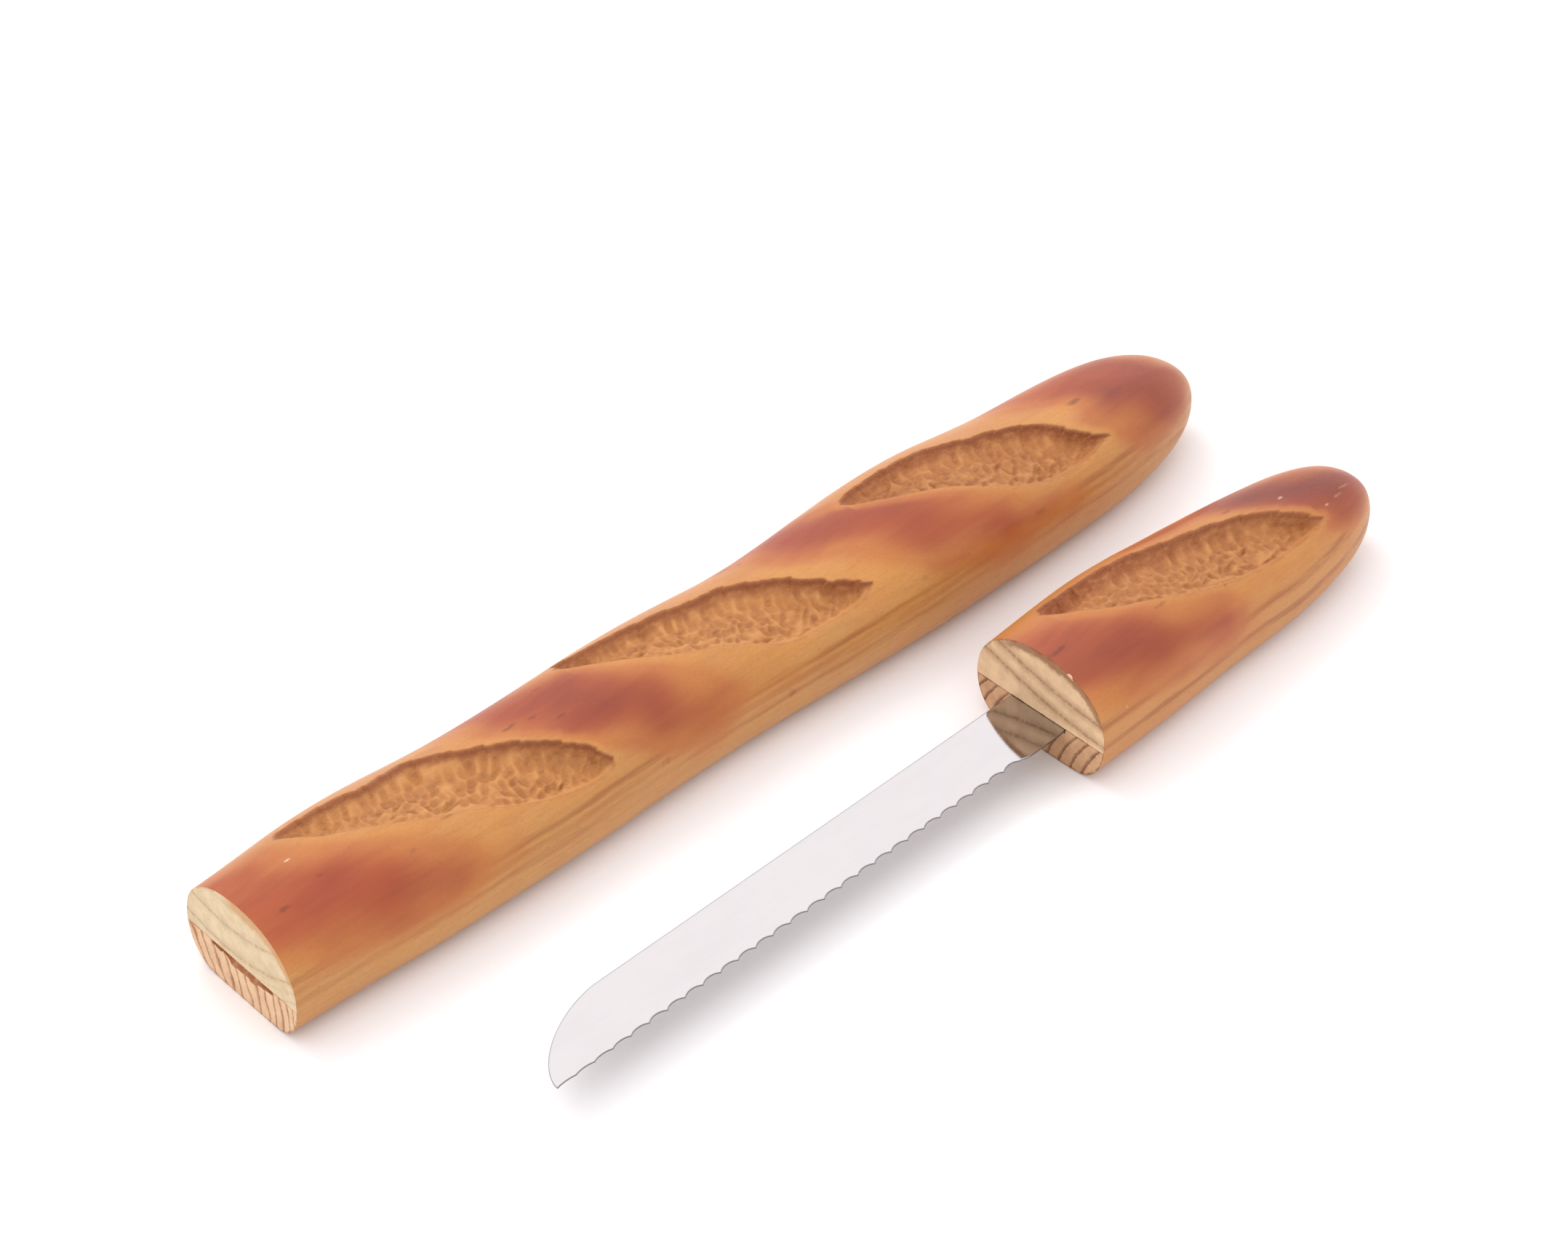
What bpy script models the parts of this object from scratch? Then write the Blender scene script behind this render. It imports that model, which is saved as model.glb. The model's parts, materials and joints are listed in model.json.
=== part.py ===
"""Bread knife disguised as a baguette, and the loaf-shaped wooden sheath that its blade slides into.

The loaf is two pine boards glued face to face, carved to shape and sawn across once. The long piece is
the sheath and the short piece is the handle. The blade lies flat in the glue plane.
Lengths are in metres, +Z is up, and both pieces rest on z = 0 with +X running towards their round ends.
"""

import math

import bmesh
import bpy
from mathutils import Matrix, Vector

MM = 0.001

# Loaf, shared by both pieces. Distances "along" are measured from the sawn face.
AXIS_HEIGHT = 15.0 * MM          # level of the widest point of the loaf
UNDERSIDE_RADIUS = 20.0 * MM     # the underside would reach this far down if it weren't planed flat
ROUNDNESS = 2.2                  # superellipse exponent of the cross-section
CROWN_HEIGHT = 37.1 * MM         # mean height of the loaf
CROWN_SWELL = 2.7 * MM           # the crown rises and dips by this much
CROWN_SWELL_PITCH = 116.0 * MM
CROWN_SWELL_PEAK = 38.0 * MM
GLUE_HEIGHT = 13.3 * MM          # glue plane between the lower and the upper board
GAP = 0.3 * MM                   # left between solids that touch

SHEATH_LENGTH = 395.0 * MM
SHEATH_NOSE = 70.0 * MM
SHEATH_HALF_WIDTH = 26.9 * MM
SHEATH_FLANK_PEAK = 80.0 * MM    # where the flanks bulge most
HANDLE_LENGTH = 152.0 * MM
HANDLE_NOSE = 76.0 * MM
HANDLE_HALF_WIDTH = 25.4 * MM
HANDLE_FLANK_PEAK = 20.0 * MM
FLANK_SWELL = 1.2 * MM
FLANK_SWELL_PITCH = 180.0 * MM

SECTION_POINTS = 36
STATION_PITCH = 12.0 * MM
NOSE_RINGS = 9

# Baker's scores: leaf-shaped hollows, each from a sharp start on the left shoulder to a blunt end on
# the right flank. Start and end are (along, to the left); bulges are how far each rim bows off the line.
SHEATH_SCORES = (
    {"start": (23 * MM, 14 * MM), "end": (121 * MM, -22 * MM), "left": 16 * MM, "right": 9 * MM},
    {"start": (130 * MM, 14 * MM), "end": (231 * MM, -19 * MM), "left": 10 * MM, "right": 14 * MM},
    {"start": (246 * MM, 12 * MM), "end": (340 * MM, -18 * MM), "left": 13 * MM, "right": 12 * MM},
)
HANDLE_SCORES = (
    {"start": (12 * MM, 14 * MM), "end": (116 * MM, -13 * MM), "left": 10 * MM, "right": 16 * MM},
)
LEFT_RIM_LEAN = (1.15, 0.8)      # powers of the rim's rise from the start and fall to the end
RIGHT_RIM_LEAN = (0.75, 0.8)
SCORE_DEPTH = 3.5 * MM
RIM_POINTS = 14
SCORE_FLOOR_LEVEL = 20.0 * MM    # the cutters start below every score's floor
SCORE_TOP_LEVEL = 60.0 * MM

# Blade, in the knife's own frame: the handle's sawn face is x = 0 and the blade points to -X.
BLADE_LENGTH = 209.4 * MM
BLADE_THICKNESS = 1.5 * MM
SPINE_Y = 12.0 * MM
EDGE_Y = -10.1 * MM              # line through the scallops' points
HEEL_Y = -10.9 * MM              # the plain heel stands a little proud of the points
HEEL_LENGTH = 20.4 * MM
HEEL_ROUND = 4.0 * MM
SCALLOPS = 27
SCALLOP_DEPTH = 1.1 * MM
SCALLOP_STEPS = 5
FADING_SCALLOPS = 6              # the scallops nearest the tip get shallower
NOSE_LENGTH = 35.5 * MM
NOSE_POWER = 1.65
NOSE_STEPS = 16

# Tang and its mortise. The blade goes in at full width for a short way, then steps down.
SHOULDER_DEPTH = 8.0 * MM
TANG_DEPTH = 78.0 * MM
TANG_WIDTH = 14.0 * MM
TANG_CENTRE_Y = 1.0 * MM
MORTISE_CLEARANCE = 0.5 * MM
PIN_DEPTHS = (24.0 * MM, 60.0 * MM)
PIN_RADIUS = 1.25 * MM
PIN_FOOT = 4.5 * MM
PIN_SIDES = 24

# Blade channel milled in the sheath's lower board, open to its upper face.
SLOT_WIDTH = 29.0 * MM
SLOT_HEIGHT = 3.9 * MM
SLOT_DEPTH = 216.0 * MM

# Layout: the knife lies beside the sheath, its handle level with the sheath's far half.
SHEATH_PLACE = Vector((-SHEATH_LENGTH / 2, 40.1 * MM, 0))
KNIFE_PLACE = SHEATH_PLACE + Vector((238.0 * MM, -82.0 * MM, 0))
KNIFE_YAW = math.radians(1.35)

BOARD_TOP = GLUE_HEIGHT - GAP / 2
BLADE_TOP = GLUE_HEIGHT - GAP


def clear_scene():
    for obj in list(bpy.data.objects):
        bpy.data.objects.remove(obj, do_unlink=True)


def new_collection(name):
    collection = bpy.data.collections.new(name)
    bpy.context.scene.collection.children.link(collection)
    return collection


def make_material(name, color, roughness, metallic=0.0):
    material = bpy.data.materials.new(name)
    material.use_nodes = True
    shader = material.node_tree.nodes["Principled BSDF"]
    shader.inputs["Base Color"].default_value = (*color, 1.0)
    shader.inputs["Roughness"].default_value = roughness
    shader.inputs["Metallic"].default_value = metallic
    material.diffuse_color = (*color, 1.0)
    return material


def object_from(bm, name, collection, parent, material=None):
    bmesh.ops.recalc_face_normals(bm, faces=bm.faces)
    mesh = bpy.data.meshes.new(name)
    bm.to_mesh(mesh)
    bm.free()
    obj = bpy.data.objects.new(name, mesh)
    collection.objects.link(obj)
    obj.parent = parent
    if material:
        mesh.materials.append(material)
    return obj


def make_cutter(bm, name, parent):
    cutter = object_from(bm, name, CUTTERS, parent)
    cutter.hide_render = True
    cutter.display_type = "WIRE"
    return cutter


def cut(obj, cutter):
    modifier = obj.modifiers.new("cut " + cutter.name, "BOOLEAN")
    modifier.operation = "DIFFERENCE"
    modifier.solver = "EXACT"
    modifier.object = cutter


def swell(along, amount, pitch, peak):
    return amount * math.cos(2 * math.pi * (along - peak) / pitch)


def signed_power(value, power):
    return math.copysign(abs(value) ** power, value)


def stations(length, nose):
    """(along, fullness) pairs: evenly spaced along the body, then closing like a quarter ellipse."""
    body = length - nose
    count = round(body / STATION_PITCH)
    pairs = [(body * index / count, 1.0) for index in range(count + 1)]
    for ring in range(1, NOSE_RINGS):
        turn = math.pi / 2 * ring / NOSE_RINGS
        pairs.append((body + nose * math.sin(turn), math.cos(turn)))
    return pairs


def loaf_section(along, fullness, half_width, flank_peak, inset):
    """One ring of the loaf. An inset above zero gives the core that the scores' floors follow."""
    side = half_width + swell(along, FLANK_SWELL, FLANK_SWELL_PITCH, flank_peak) - inset
    crown = CROWN_HEIGHT + swell(along, CROWN_SWELL, CROWN_SWELL_PITCH, CROWN_SWELL_PEAK)
    above = crown - AXIS_HEIGHT - inset
    below = UNDERSIDE_RADIUS - inset
    ring = []
    for index in range(SECTION_POINTS):
        turn = 2 * math.pi * index / SECTION_POINTS
        across = signed_power(math.cos(turn), 2 / ROUNDNESS)
        rise = signed_power(math.sin(turn), 2 / ROUNDNESS)
        reach = above if rise > 0 else below
        ring.append((along, fullness * side * across, AXIS_HEIGHT + fullness * reach * rise))
    return ring


def loaf_body(length, nose, half_width, flank_peak, inset=0.0):
    """The whole closed loaf piece as a bmesh: rings joined in order, capped at the saw cut and the nose."""
    bm = bmesh.new()
    rings = []
    for along, fullness in stations(length - inset, nose - inset):
        section = loaf_section(along, fullness, half_width, flank_peak, inset)
        rings.append([bm.verts.new(point) for point in section])
    tip = bm.verts.new((length - inset, 0, AXIS_HEIGHT))
    bm.faces.new(rings[0])
    for near, far in zip(rings, rings[1:]):
        for index in range(SECTION_POINTS):
            after = (index + 1) % SECTION_POINTS
            bm.faces.new((near[index], near[after], far[after], far[index]))
    for index in range(SECTION_POINTS):
        bm.faces.new((rings[-1][index], rings[-1][(index + 1) % SECTION_POINTS], tip))
    return bm


def slice_level(bm, level, keep_above):
    """Cuts the solid at a height, drops one side and closes the cut with a flat face."""
    geometry = bm.verts[:] + bm.edges[:] + bm.faces[:]
    bmesh.ops.bisect_plane(
        bm, geom=geometry, dist=1e-7, plane_co=(0, 0, level), plane_no=(0, 0, 1),
        clear_inner=keep_above, clear_outer=not keep_above)
    bmesh.ops.holes_fill(bm, edges=bm.edges, sides=0)


def board(name, shape, parent, upper):
    bm = loaf_body(**shape)
    if upper:
        slice_level(bm, GLUE_HEIGHT + GAP / 2, keep_above=True)
    else:
        slice_level(bm, 0.0, keep_above=True)
        slice_level(bm, BOARD_TOP, keep_above=False)
    obj = object_from(bm, name, PARTS, parent, PINE)
    obj.data.shade_smooth()
    obj.data.set_sharp_from_angle(angle=math.radians(35))
    return obj


def rim_rise(share, lean):
    """Height of a rim's bow at a share of the way along it, with its highest point equal to 1."""
    rise, fall = lean
    top = rise / (rise + fall)
    return (share ** rise * (1 - share) ** fall) / (top ** rise * (1 - top) ** fall)


def score_outline(score):
    """Closed outline of one score seen from above, along one rim and back along the other."""
    start, end = Vector(score["start"]), Vector(score["end"])
    run = end - start
    left = Vector((-run.y, run.x)).normalized()
    outline = [start]
    for index in range(1, RIM_POINTS):
        share = index / RIM_POINTS
        bow = score["left"] * rim_rise(share, LEFT_RIM_LEAN)
        outline.append(start + run * share + left * bow)
    outline.append(end)
    for index in range(RIM_POINTS - 1, 0, -1):
        share = index / RIM_POINTS
        bow = score["right"] * rim_rise(share, RIGHT_RIM_LEAN)
        outline.append(start + run * share - left * bow)
    return outline


def prism(outline, low, high):
    bm = bmesh.new()
    base = bm.faces.new([bm.verts.new((point[0], point[1], low)) for point in outline])
    grown = bmesh.ops.extrude_face_region(bm, geom=[base])["geom"]
    top = [item for item in grown if isinstance(item, bmesh.types.BMVert)]
    bmesh.ops.translate(bm, verts=top, vec=(0, 0, high - low))
    return bm


def block(low, high):
    """Box between two corners."""
    bm = bmesh.new()
    low, high = Vector(low), Vector(high)
    size = Matrix.Diagonal((*(high - low), 1))
    bmesh.ops.create_cube(bm, size=1, matrix=Matrix.Translation((low + high) / 2) @ size)
    return bm


def carve_scores(obj, shape, scores, parent):
    core = make_cutter(loaf_body(**shape, inset=SCORE_DEPTH), obj.name + "_core", parent)
    for number, score in enumerate(scores, 1):
        outline = score_outline(score)
        name = f"{obj.name}_score_{number}"
        cutter = make_cutter(prism(outline, SCORE_FLOOR_LEVEL, SCORE_TOP_LEVEL), name, parent)
        cut(cutter, core)
        cut(obj, cutter)


def scallop_points():
    """Edge from the heel to the tip: shallow arcs between sharp points, fading towards the tip."""
    pitch = (BLADE_LENGTH - HEEL_LENGTH) / SCALLOPS
    points = []
    for scallop in range(SCALLOPS):
        fade = min(1.0, (SCALLOPS - scallop + 1) / (FADING_SCALLOPS + 1))
        for step in range(SCALLOP_STEPS):
            share = step / SCALLOP_STEPS
            dip = SCALLOP_DEPTH * fade * 4 * share * (1 - share)
            points.append((-(HEEL_LENGTH + pitch * (scallop + share)), EDGE_Y + dip))
    points.append((-BLADE_LENGTH, EDGE_Y))
    return points


def nose_points():
    """Outline from the tip on the edge side, round to the start of the straight spine."""
    width = SPINE_Y - EDGE_Y
    points = []
    for step in range(1, NOSE_STEPS + 1):
        turn = math.pi / 2 * step / NOSE_STEPS
        reach = math.cos(turn) ** (2 / NOSE_POWER)
        climb = math.sin(turn) ** (2 / NOSE_POWER)
        points.append((-(BLADE_LENGTH - NOSE_LENGTH + NOSE_LENGTH * reach), EDGE_Y + width * climb))
    return points


def blade_outline():
    tang_low = TANG_CENTRE_Y - TANG_WIDTH / 2
    tang_high = TANG_CENTRE_Y + TANG_WIDTH / 2
    shoulder = [
        (SHOULDER_DEPTH, SPINE_Y), (SHOULDER_DEPTH, tang_high), (TANG_DEPTH, tang_high),
        (TANG_DEPTH, tang_low), (SHOULDER_DEPTH, tang_low), (SHOULDER_DEPTH, EDGE_Y)]
    heel = [(0, EDGE_Y), (-HEEL_ROUND / 2, HEEL_Y + 0.3 * (EDGE_Y - HEEL_Y)), (-HEEL_ROUND, HEEL_Y),
            (-HEEL_LENGTH + HEEL_ROUND, HEEL_Y)]
    return shoulder + heel + scallop_points() + nose_points()


def cylinder(radius, low, high, along):
    bm = bmesh.new()
    place = Matrix.Translation((along, TANG_CENTRE_Y, (low + high) / 2))
    bmesh.ops.create_cone(
        bm, cap_ends=True, segments=PIN_SIDES, radius1=radius, radius2=radius, depth=high - low,
        matrix=place)
    return bm


def build_sheath():
    base = bpy.data.objects.new("sheath_mouth", None)
    PARTS.objects.link(base)
    base.location = SHEATH_PLACE
    shape = {"length": SHEATH_LENGTH, "nose": SHEATH_NOSE, "half_width": SHEATH_HALF_WIDTH,
             "flank_peak": SHEATH_FLANK_PEAK}
    upper = board("sheath_upper_board", shape, base, upper=True)
    carve_scores(upper, shape, SHEATH_SCORES, base)
    lower = board("sheath_lower_board", shape, base, upper=False)
    channel = block((-GAP * 10, -SLOT_WIDTH / 2, BOARD_TOP - SLOT_HEIGHT),
                    (SLOT_DEPTH, SLOT_WIDTH / 2, BOARD_TOP + SLOT_HEIGHT))
    cut(lower, make_cutter(channel, "blade_channel", base))


def build_handle(base):
    shape = {"length": HANDLE_LENGTH, "nose": HANDLE_NOSE, "half_width": HANDLE_HALF_WIDTH,
             "flank_peak": HANDLE_FLANK_PEAK}
    upper = board("handle_upper_board", shape, base, upper=True)
    carve_scores(upper, shape, HANDLE_SCORES, base)
    lower = board("handle_lower_board", shape, base, upper=False)
    room = MORTISE_CLEARANCE
    floor = BLADE_TOP - BLADE_THICKNESS - GAP
    half_tang = TANG_WIDTH / 2 + room
    shoulder = block((-room, EDGE_Y - room, floor), (SHOULDER_DEPTH + room, SPINE_Y + room, 2 * GLUE_HEIGHT))
    tang = block((-room, TANG_CENTRE_Y - half_tang, floor),
                 (TANG_DEPTH + room, TANG_CENTRE_Y + half_tang, 2 * GLUE_HEIGHT))
    cut(lower, make_cutter(shoulder, "shoulder_mortise", base))
    cut(lower, make_cutter(tang, "tang_mortise", base))
    for number, along in enumerate(PIN_DEPTHS, 1):
        hole = cylinder(PIN_RADIUS + GAP, PIN_FOOT - GAP, 2 * GLUE_HEIGHT, along)
        cut(lower, make_cutter(hole, f"pin_hole_{number}", base))


def build_blade(base):
    bm = prism(blade_outline(), BLADE_TOP - BLADE_THICKNESS, BLADE_TOP)
    blade = object_from(bm, "blade", PARTS, base, BLADE_STEEL)
    for number, along in enumerate(PIN_DEPTHS, 1):
        hole = cylinder(PIN_RADIUS + GAP, 0, 2 * GLUE_HEIGHT, along)
        cut(blade, make_cutter(hole, f"tang_hole_{number}", base))


def build_pins(base):
    for name, along in zip(("tang_pin_front", "tang_pin_rear"), PIN_DEPTHS):
        pin = object_from(cylinder(PIN_RADIUS, PIN_FOOT, BLADE_TOP, along), name, PARTS, base, PIN_STEEL)
        pin.data.shade_smooth()
        pin.data.set_sharp_from_angle(angle=math.radians(35))


def build_knife():
    base = bpy.data.objects.new("knife_axis", None)
    PARTS.objects.link(base)
    base.location = KNIFE_PLACE
    base.rotation_euler.z = KNIFE_YAW
    build_handle(base)
    build_blade(base)
    build_pins(base)


clear_scene()
PARTS = new_collection("bread_knife")
CUTTERS = new_collection("cutters")
PINE = make_material("stained_pine", (0.52, 0.22, 0.08), 0.45)
BLADE_STEEL = make_material("blade_steel", (0.80, 0.79, 0.78), 0.18, 1.0)
PIN_STEEL = make_material("pin_steel", (0.55, 0.55, 0.55), 0.35, 1.0)
build_sheath()
build_knife()
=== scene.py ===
"""Looks of the bread knife and its baguette-shaped sheath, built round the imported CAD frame.

Both pieces of the loaf are rebuilt as fine closed meshes that follow the CAD's section, with carved scores,
gouge marks, a ragged blade channel and hand-carved unevenness. The blade gets its scallops and its grind.
Shapes are worked out in each piece's own frame in millimetres: s runs from the sawn face to the round end,
y to the left, z up. Surface places are given as (s, g), where g is the girth measured from the crown,
negative to the left. Every vertex keeps its own (s, y, z) in the attribute "at", which the materials read.
"""
import json
import math

import bmesh
import bpy
import numpy as np
from mathutils import Matrix, Vector


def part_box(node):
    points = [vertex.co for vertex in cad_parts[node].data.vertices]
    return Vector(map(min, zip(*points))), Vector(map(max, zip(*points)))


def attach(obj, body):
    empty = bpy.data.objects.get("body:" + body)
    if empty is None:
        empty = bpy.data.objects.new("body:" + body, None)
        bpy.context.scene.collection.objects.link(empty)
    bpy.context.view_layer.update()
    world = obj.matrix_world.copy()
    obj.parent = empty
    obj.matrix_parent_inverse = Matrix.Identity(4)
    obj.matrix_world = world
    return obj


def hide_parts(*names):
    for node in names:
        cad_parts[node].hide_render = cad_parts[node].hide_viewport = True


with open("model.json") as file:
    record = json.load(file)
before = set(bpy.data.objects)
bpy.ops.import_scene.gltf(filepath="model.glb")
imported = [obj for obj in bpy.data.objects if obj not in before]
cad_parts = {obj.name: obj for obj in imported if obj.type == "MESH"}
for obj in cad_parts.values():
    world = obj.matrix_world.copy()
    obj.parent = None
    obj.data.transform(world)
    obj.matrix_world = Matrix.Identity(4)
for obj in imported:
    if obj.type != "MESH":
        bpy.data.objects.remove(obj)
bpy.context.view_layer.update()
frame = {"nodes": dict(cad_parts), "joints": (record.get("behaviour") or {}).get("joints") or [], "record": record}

MM = 0.001

# Loaf section, as in the CAD.
AXIS_HEIGHT = 15.0
UNDERSIDE_RADIUS = 20.0
ROUNDNESS = 2.2
CROWN_HEIGHT, CROWN_SWELL, CROWN_SWELL_PITCH, CROWN_SWELL_PEAK = 37.1, 2.7, 116.0, 38.0
FLANK_SWELL, FLANK_SWELL_PITCH = 1.2, 180.0
GLUE_HEIGHT = 13.3
GLUE_LINE = 0.05                 # open hairline between the two boards
BASE_ROUNDING = 3.0              # softens the corner where the underside was planed flat
CUT_SLOPE = 0.06                 # the saw cut is this much out of square
CUT_FADE = 30.0                  # and the shape has lost that skew this far along
WOBBLE, WOBBLE_PITCH = 0.28, 24.0  # unevenness left by hand carving
FACET, FACET_PITCH = 0.05, 5.0

# Grid: pitches of rows along the loaf and of columns round it.
GIRTH_COLUMNS = ((-43.0, -21.0, 0.95), (-21.0, 27.0, 0.5), (27.0, 43.0, 0.95))
TUCK_COLUMNS = 4                 # columns between the widest line and the glue line
CAP_ROWS = 12
FAR = 50.0                       # a distance that counts as away from every score

# Rims of the scores in (s, g): left rim from start to end, then right rim from start to end.
SHEATH_SCORES = (
    (((24, -13.5), (26, -16), (36, -15.5), (48, -15), (55, -12.8), (64, -14.5), (73, -16.2), (80, -13.5),
      (90, -7), (100, -1), (110, 8), (117, 16), (121.5, 23)),
     ((24, -13.5), (27, -9), (33, -2), (45, 4), (60, 10), (75, 14), (90, 20), (103, 24), (114, 26.2),
      (120, 25.5), (121.5, 23))),
    (((132, -16), (134.5, -20.5), (140, -18), (150, -15), (162, -12.8), (172, -11.5), (178, -9.8),
      (190, -10), (200, -6), (210, 0.5), (220, 10), (231.5, 19)),
     ((132, -16), (134, -11), (140, -5), (150, 3), (160, 9), (175, 14), (185, 18), (195, 22),
      (210, 22.6), (225, 22), (231.5, 19))),
    (((247, -10.5), (250, -13.5), (262, -13.8), (280, -13.2), (290, -10.8), (299, -8), (308, -6.5),
      (316, -3.5), (323, 0.5), (328, 7), (333, 14), (340, 19.5)),
     ((247, -10.5), (250, -6), (260, 1), (275, 8), (288, 14.5), (300, 19.5), (315, 22.6), (330, 22),
      (340, 19.5))),
)
HANDLE_SCORES = (
    (((13.5, -13.5), (16.5, -18), (25, -16.3), (40, -14.5), (50, -13), (58, -11), (70, -8.6),
      (80, -7), (90, -4.8), (98, -1.5), (105, 4), (111, 10), (116.5, 17)),
     ((13.5, -13.5), (16, -8), (20, -4), (28, 3), (38, 8), (50, 13), (62, 16), (75, 18.2), (88, 19.3),
      (100, 19.5), (112, 18.8), (116.5, 17))),
)
# Dark left wall of each score, stain with painted shade as that wall faces away from the softbox: reach at its
# start and end, darkness there, darkness of the whole score.
SHEATH_WALLS = ((2.6, 3.4, 0.7, 0.9, 0.0), (4.8, 4.2, 0.8, 0.9, 0.04), (5.6, 5.0, 0.9, 1.0, 0.34))
HANDLE_WALLS = ((10.5, 5.5, 1.1, 0.65, 0.26),)
# (station, how much further the right flank stands out than the left one there)
EVEN_FLANK = ((0, 0.0), (400, 0.0))
HANDLE_FLANK = ((0, 0.0), (34, -1.0), (72, -1.7), (109, 0.0), (135, 1.7), (152, 1.9))
SCORE_DEPTH = 5.2                # at the foot of the left wall
RIGHT_SHARE = 0.36               # of that depth is left near the right rim
WALL_CURVE, RIGHT_WALL_SLOPE = 2.3, 1.6
RIM_STEP, RIM_STEP_PITCH = 0.8, 11.0   # each push of the gouge left a step in the left rim
# Lanes of gouge cuts: middle as a share of the width, half length, pitch, lean, depth.
GOUGE_LANES = ((0.24, 5.6, 3.2, 0.10, 1.1), (0.42, 3.6, 2.5, 0.25, 1.5), (0.58, 3.2, 2.3, 0.35, 1.6),
               (0.74, 2.8, 2.2, 0.5, 1.55), (0.90, 2.0, 2.4, 0.6, 1.1))

# Airbrushed crust stain in (s, g): from, to, half width, strength.
SHEATH_STAINS = (
    ((-6, -14), (11, -9), 9, 0.9), ((-6, 2), (16, 9), 12, 0.95), ((8, 11), (36, 21), 11, 1.0),
    ((36, 21), (56, 27), 8.5, 0.6), ((56, 27), (76, 31), 6, 0.25),
    ((98, -26), (114, -8), 9, 0.9), ((112, -10), (126, 4), 10.5, 1.05), ((124, 3), (142, 17), 11, 1.15),
    ((142, 18), (158, 27), 9.5, 0.7), ((160, 27), (190, 31), 6, 0.2),
    ((208, -28), (226, -14), 9, 0.8), ((226, -14), (244, 0), 9, 1.0), ((242, -2), (258, 10), 11, 1.12),
    ((258, 12), (284, 25), 10.5, 0.85), ((284, 27), (316, 31), 6, 0.45),
    ((328, -20), (346, -8), 9, 0.85), ((346, -10), (362, -2), 9, 1.0), ((352, 8), (368, 16), 12, 1.25),
    ((366, -6), (378, 12), 13, 1.15), ((352, 27), (378, 25), 7, 0.55),
)
HANDLE_STAINS = (
    ((-6, -10), (4, -4), 8, 0.8), ((-6, 2), (12, 8), 12, 1.05), ((8, 10), (30, 20), 10.5, 1.15),
    ((28, 20), (56, 27), 10, 0.75), ((56, 28), (74, 32), 7, 0.2),
    ((58, -18.5), (96, -14.5), 4.5, 0.8), ((94, -18), (112, -10), 7, 0.9), ((108, -8), (128, 6), 13, 1.35),
    ((118, 6), (136, 14), 10, 1.0), ((134, 4), (142, 10), 9, 0.8), ((126, 20), (138, 22), 6, 0.5),
)
# Small dark marks in (s, g): place, half length, half width, strength.
SHEATH_MARKS = (
    ((9, 11), 2.2, 0.9, 0.8), ((23, 9), 1.4, 0.7, 0.5), ((50, 17), 1.5, 0.6, 0.4),
    ((105, -5), 3.0, 0.7, 0.9), ((112, -3), 2.0, 0.6, 0.8), ((118, 3), 2.2, 0.6, 0.7),
    ((204, -20), 4.0, 0.9, 0.8), ((209, -17.5), 1.6, 0.6, 0.6), ((190, 37.5), 1.9, 1.1, 0.5),
    ((138, 34), 2.4, 0.6, 0.6), ((213, 17), 1.4, 0.9, 0.5), ((341, 1.5), 3.0, 1.2, 0.9),
    ((248, 27), 1.8, 0.6, 0.4), ((66, 12.5), 2.5, 0.5, 0.7), ((354, 7), 5.0, 1.6, 0.35),
    ((122, -12), 1.4, 0.5, 0.6), ((300, 29), 2.6, 0.6, 0.5),
)
HANDLE_MARKS = (
    ((4, 2.5), 4.5, 0.7, 0.9), ((40, 11.5), 3.0, 0.5, 0.6), ((94, -8), 2.4, 0.6, 0.8),
    ((66, 17), 1.4, 0.5, 0.7), ((106, -5), 1.3, 0.5, 0.5),
)
SHEATH_CHIPS = (((20, -2), 0.9, 0.35, 1.0), ((59, 5), 0.6, 0.3, 0.7))
HANDLE_CHIPS = (((112, 0), 0.7, 0.5, 0.8), ((122, 14), 0.8, 0.5, 0.7), ((129, 13.5), 2.6, 0.6, 0.22),
                ((135, 11.5), 3.6, 0.5, 0.22), ((10, 29.5), 1.6, 0.25, 0.6))

# Blade, in the knife's frame with the sawn face at x = 0 and the blade towards -x.
BLADE_LENGTH, BLADE_THICKNESS, BLADE_TOP = 208.5, 1.5, 13.18
SPINE_Y, EDGE_Y, HEEL_Y = 12.0, -10.1, -10.9
HEEL_LENGTH, HEEL_ROUND = 20.4, 4.0
SCALLOPS, SCALLOP_DEPTH, FADING_SCALLOPS = 27, 1.15, 6
SCALLOP_COLUMNS = 14
NOSE_LENGTH, NOSE_POWER = 35.5, 1.65
GRIND_WIDTH, GRIND_EDGE, NOSE_EDGE = 4.2, 0.3, 0.45
FULL_WIDTH = 22.0                # turns the grind's grid lines into shares of the width
GRIND_STEPS = (0, 0.1, 0.22, 0.5, 0.9, 1.5, 2.2, 3.1, 4.2, 5.2, 6.5, 8, 10)
SPINE_SHARES = (0.95, 0.985, 0.996, 1.0)  # grid lines close to the spine
SHOULDER_DEPTH, TANG_DEPTH, TANG_WIDTH, TANG_CENTRE_Y = 8.0, 78.0, 14.0, 1.0
PIN_PLACES = (24.0, 60.0)
PIN_ROOM, PIN_FOOT = 2.1, 4.2
MORTISE_ROOM, MORTISE_END = 0.35, 0.5     # gaps beside and behind the steel

# Blade channel in the sheath's lower board.
SLOT_HALF_WIDTH, SLOT_DEPTH, SLOT_HEIGHT = 14.4, 216.0, 3.8

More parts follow.
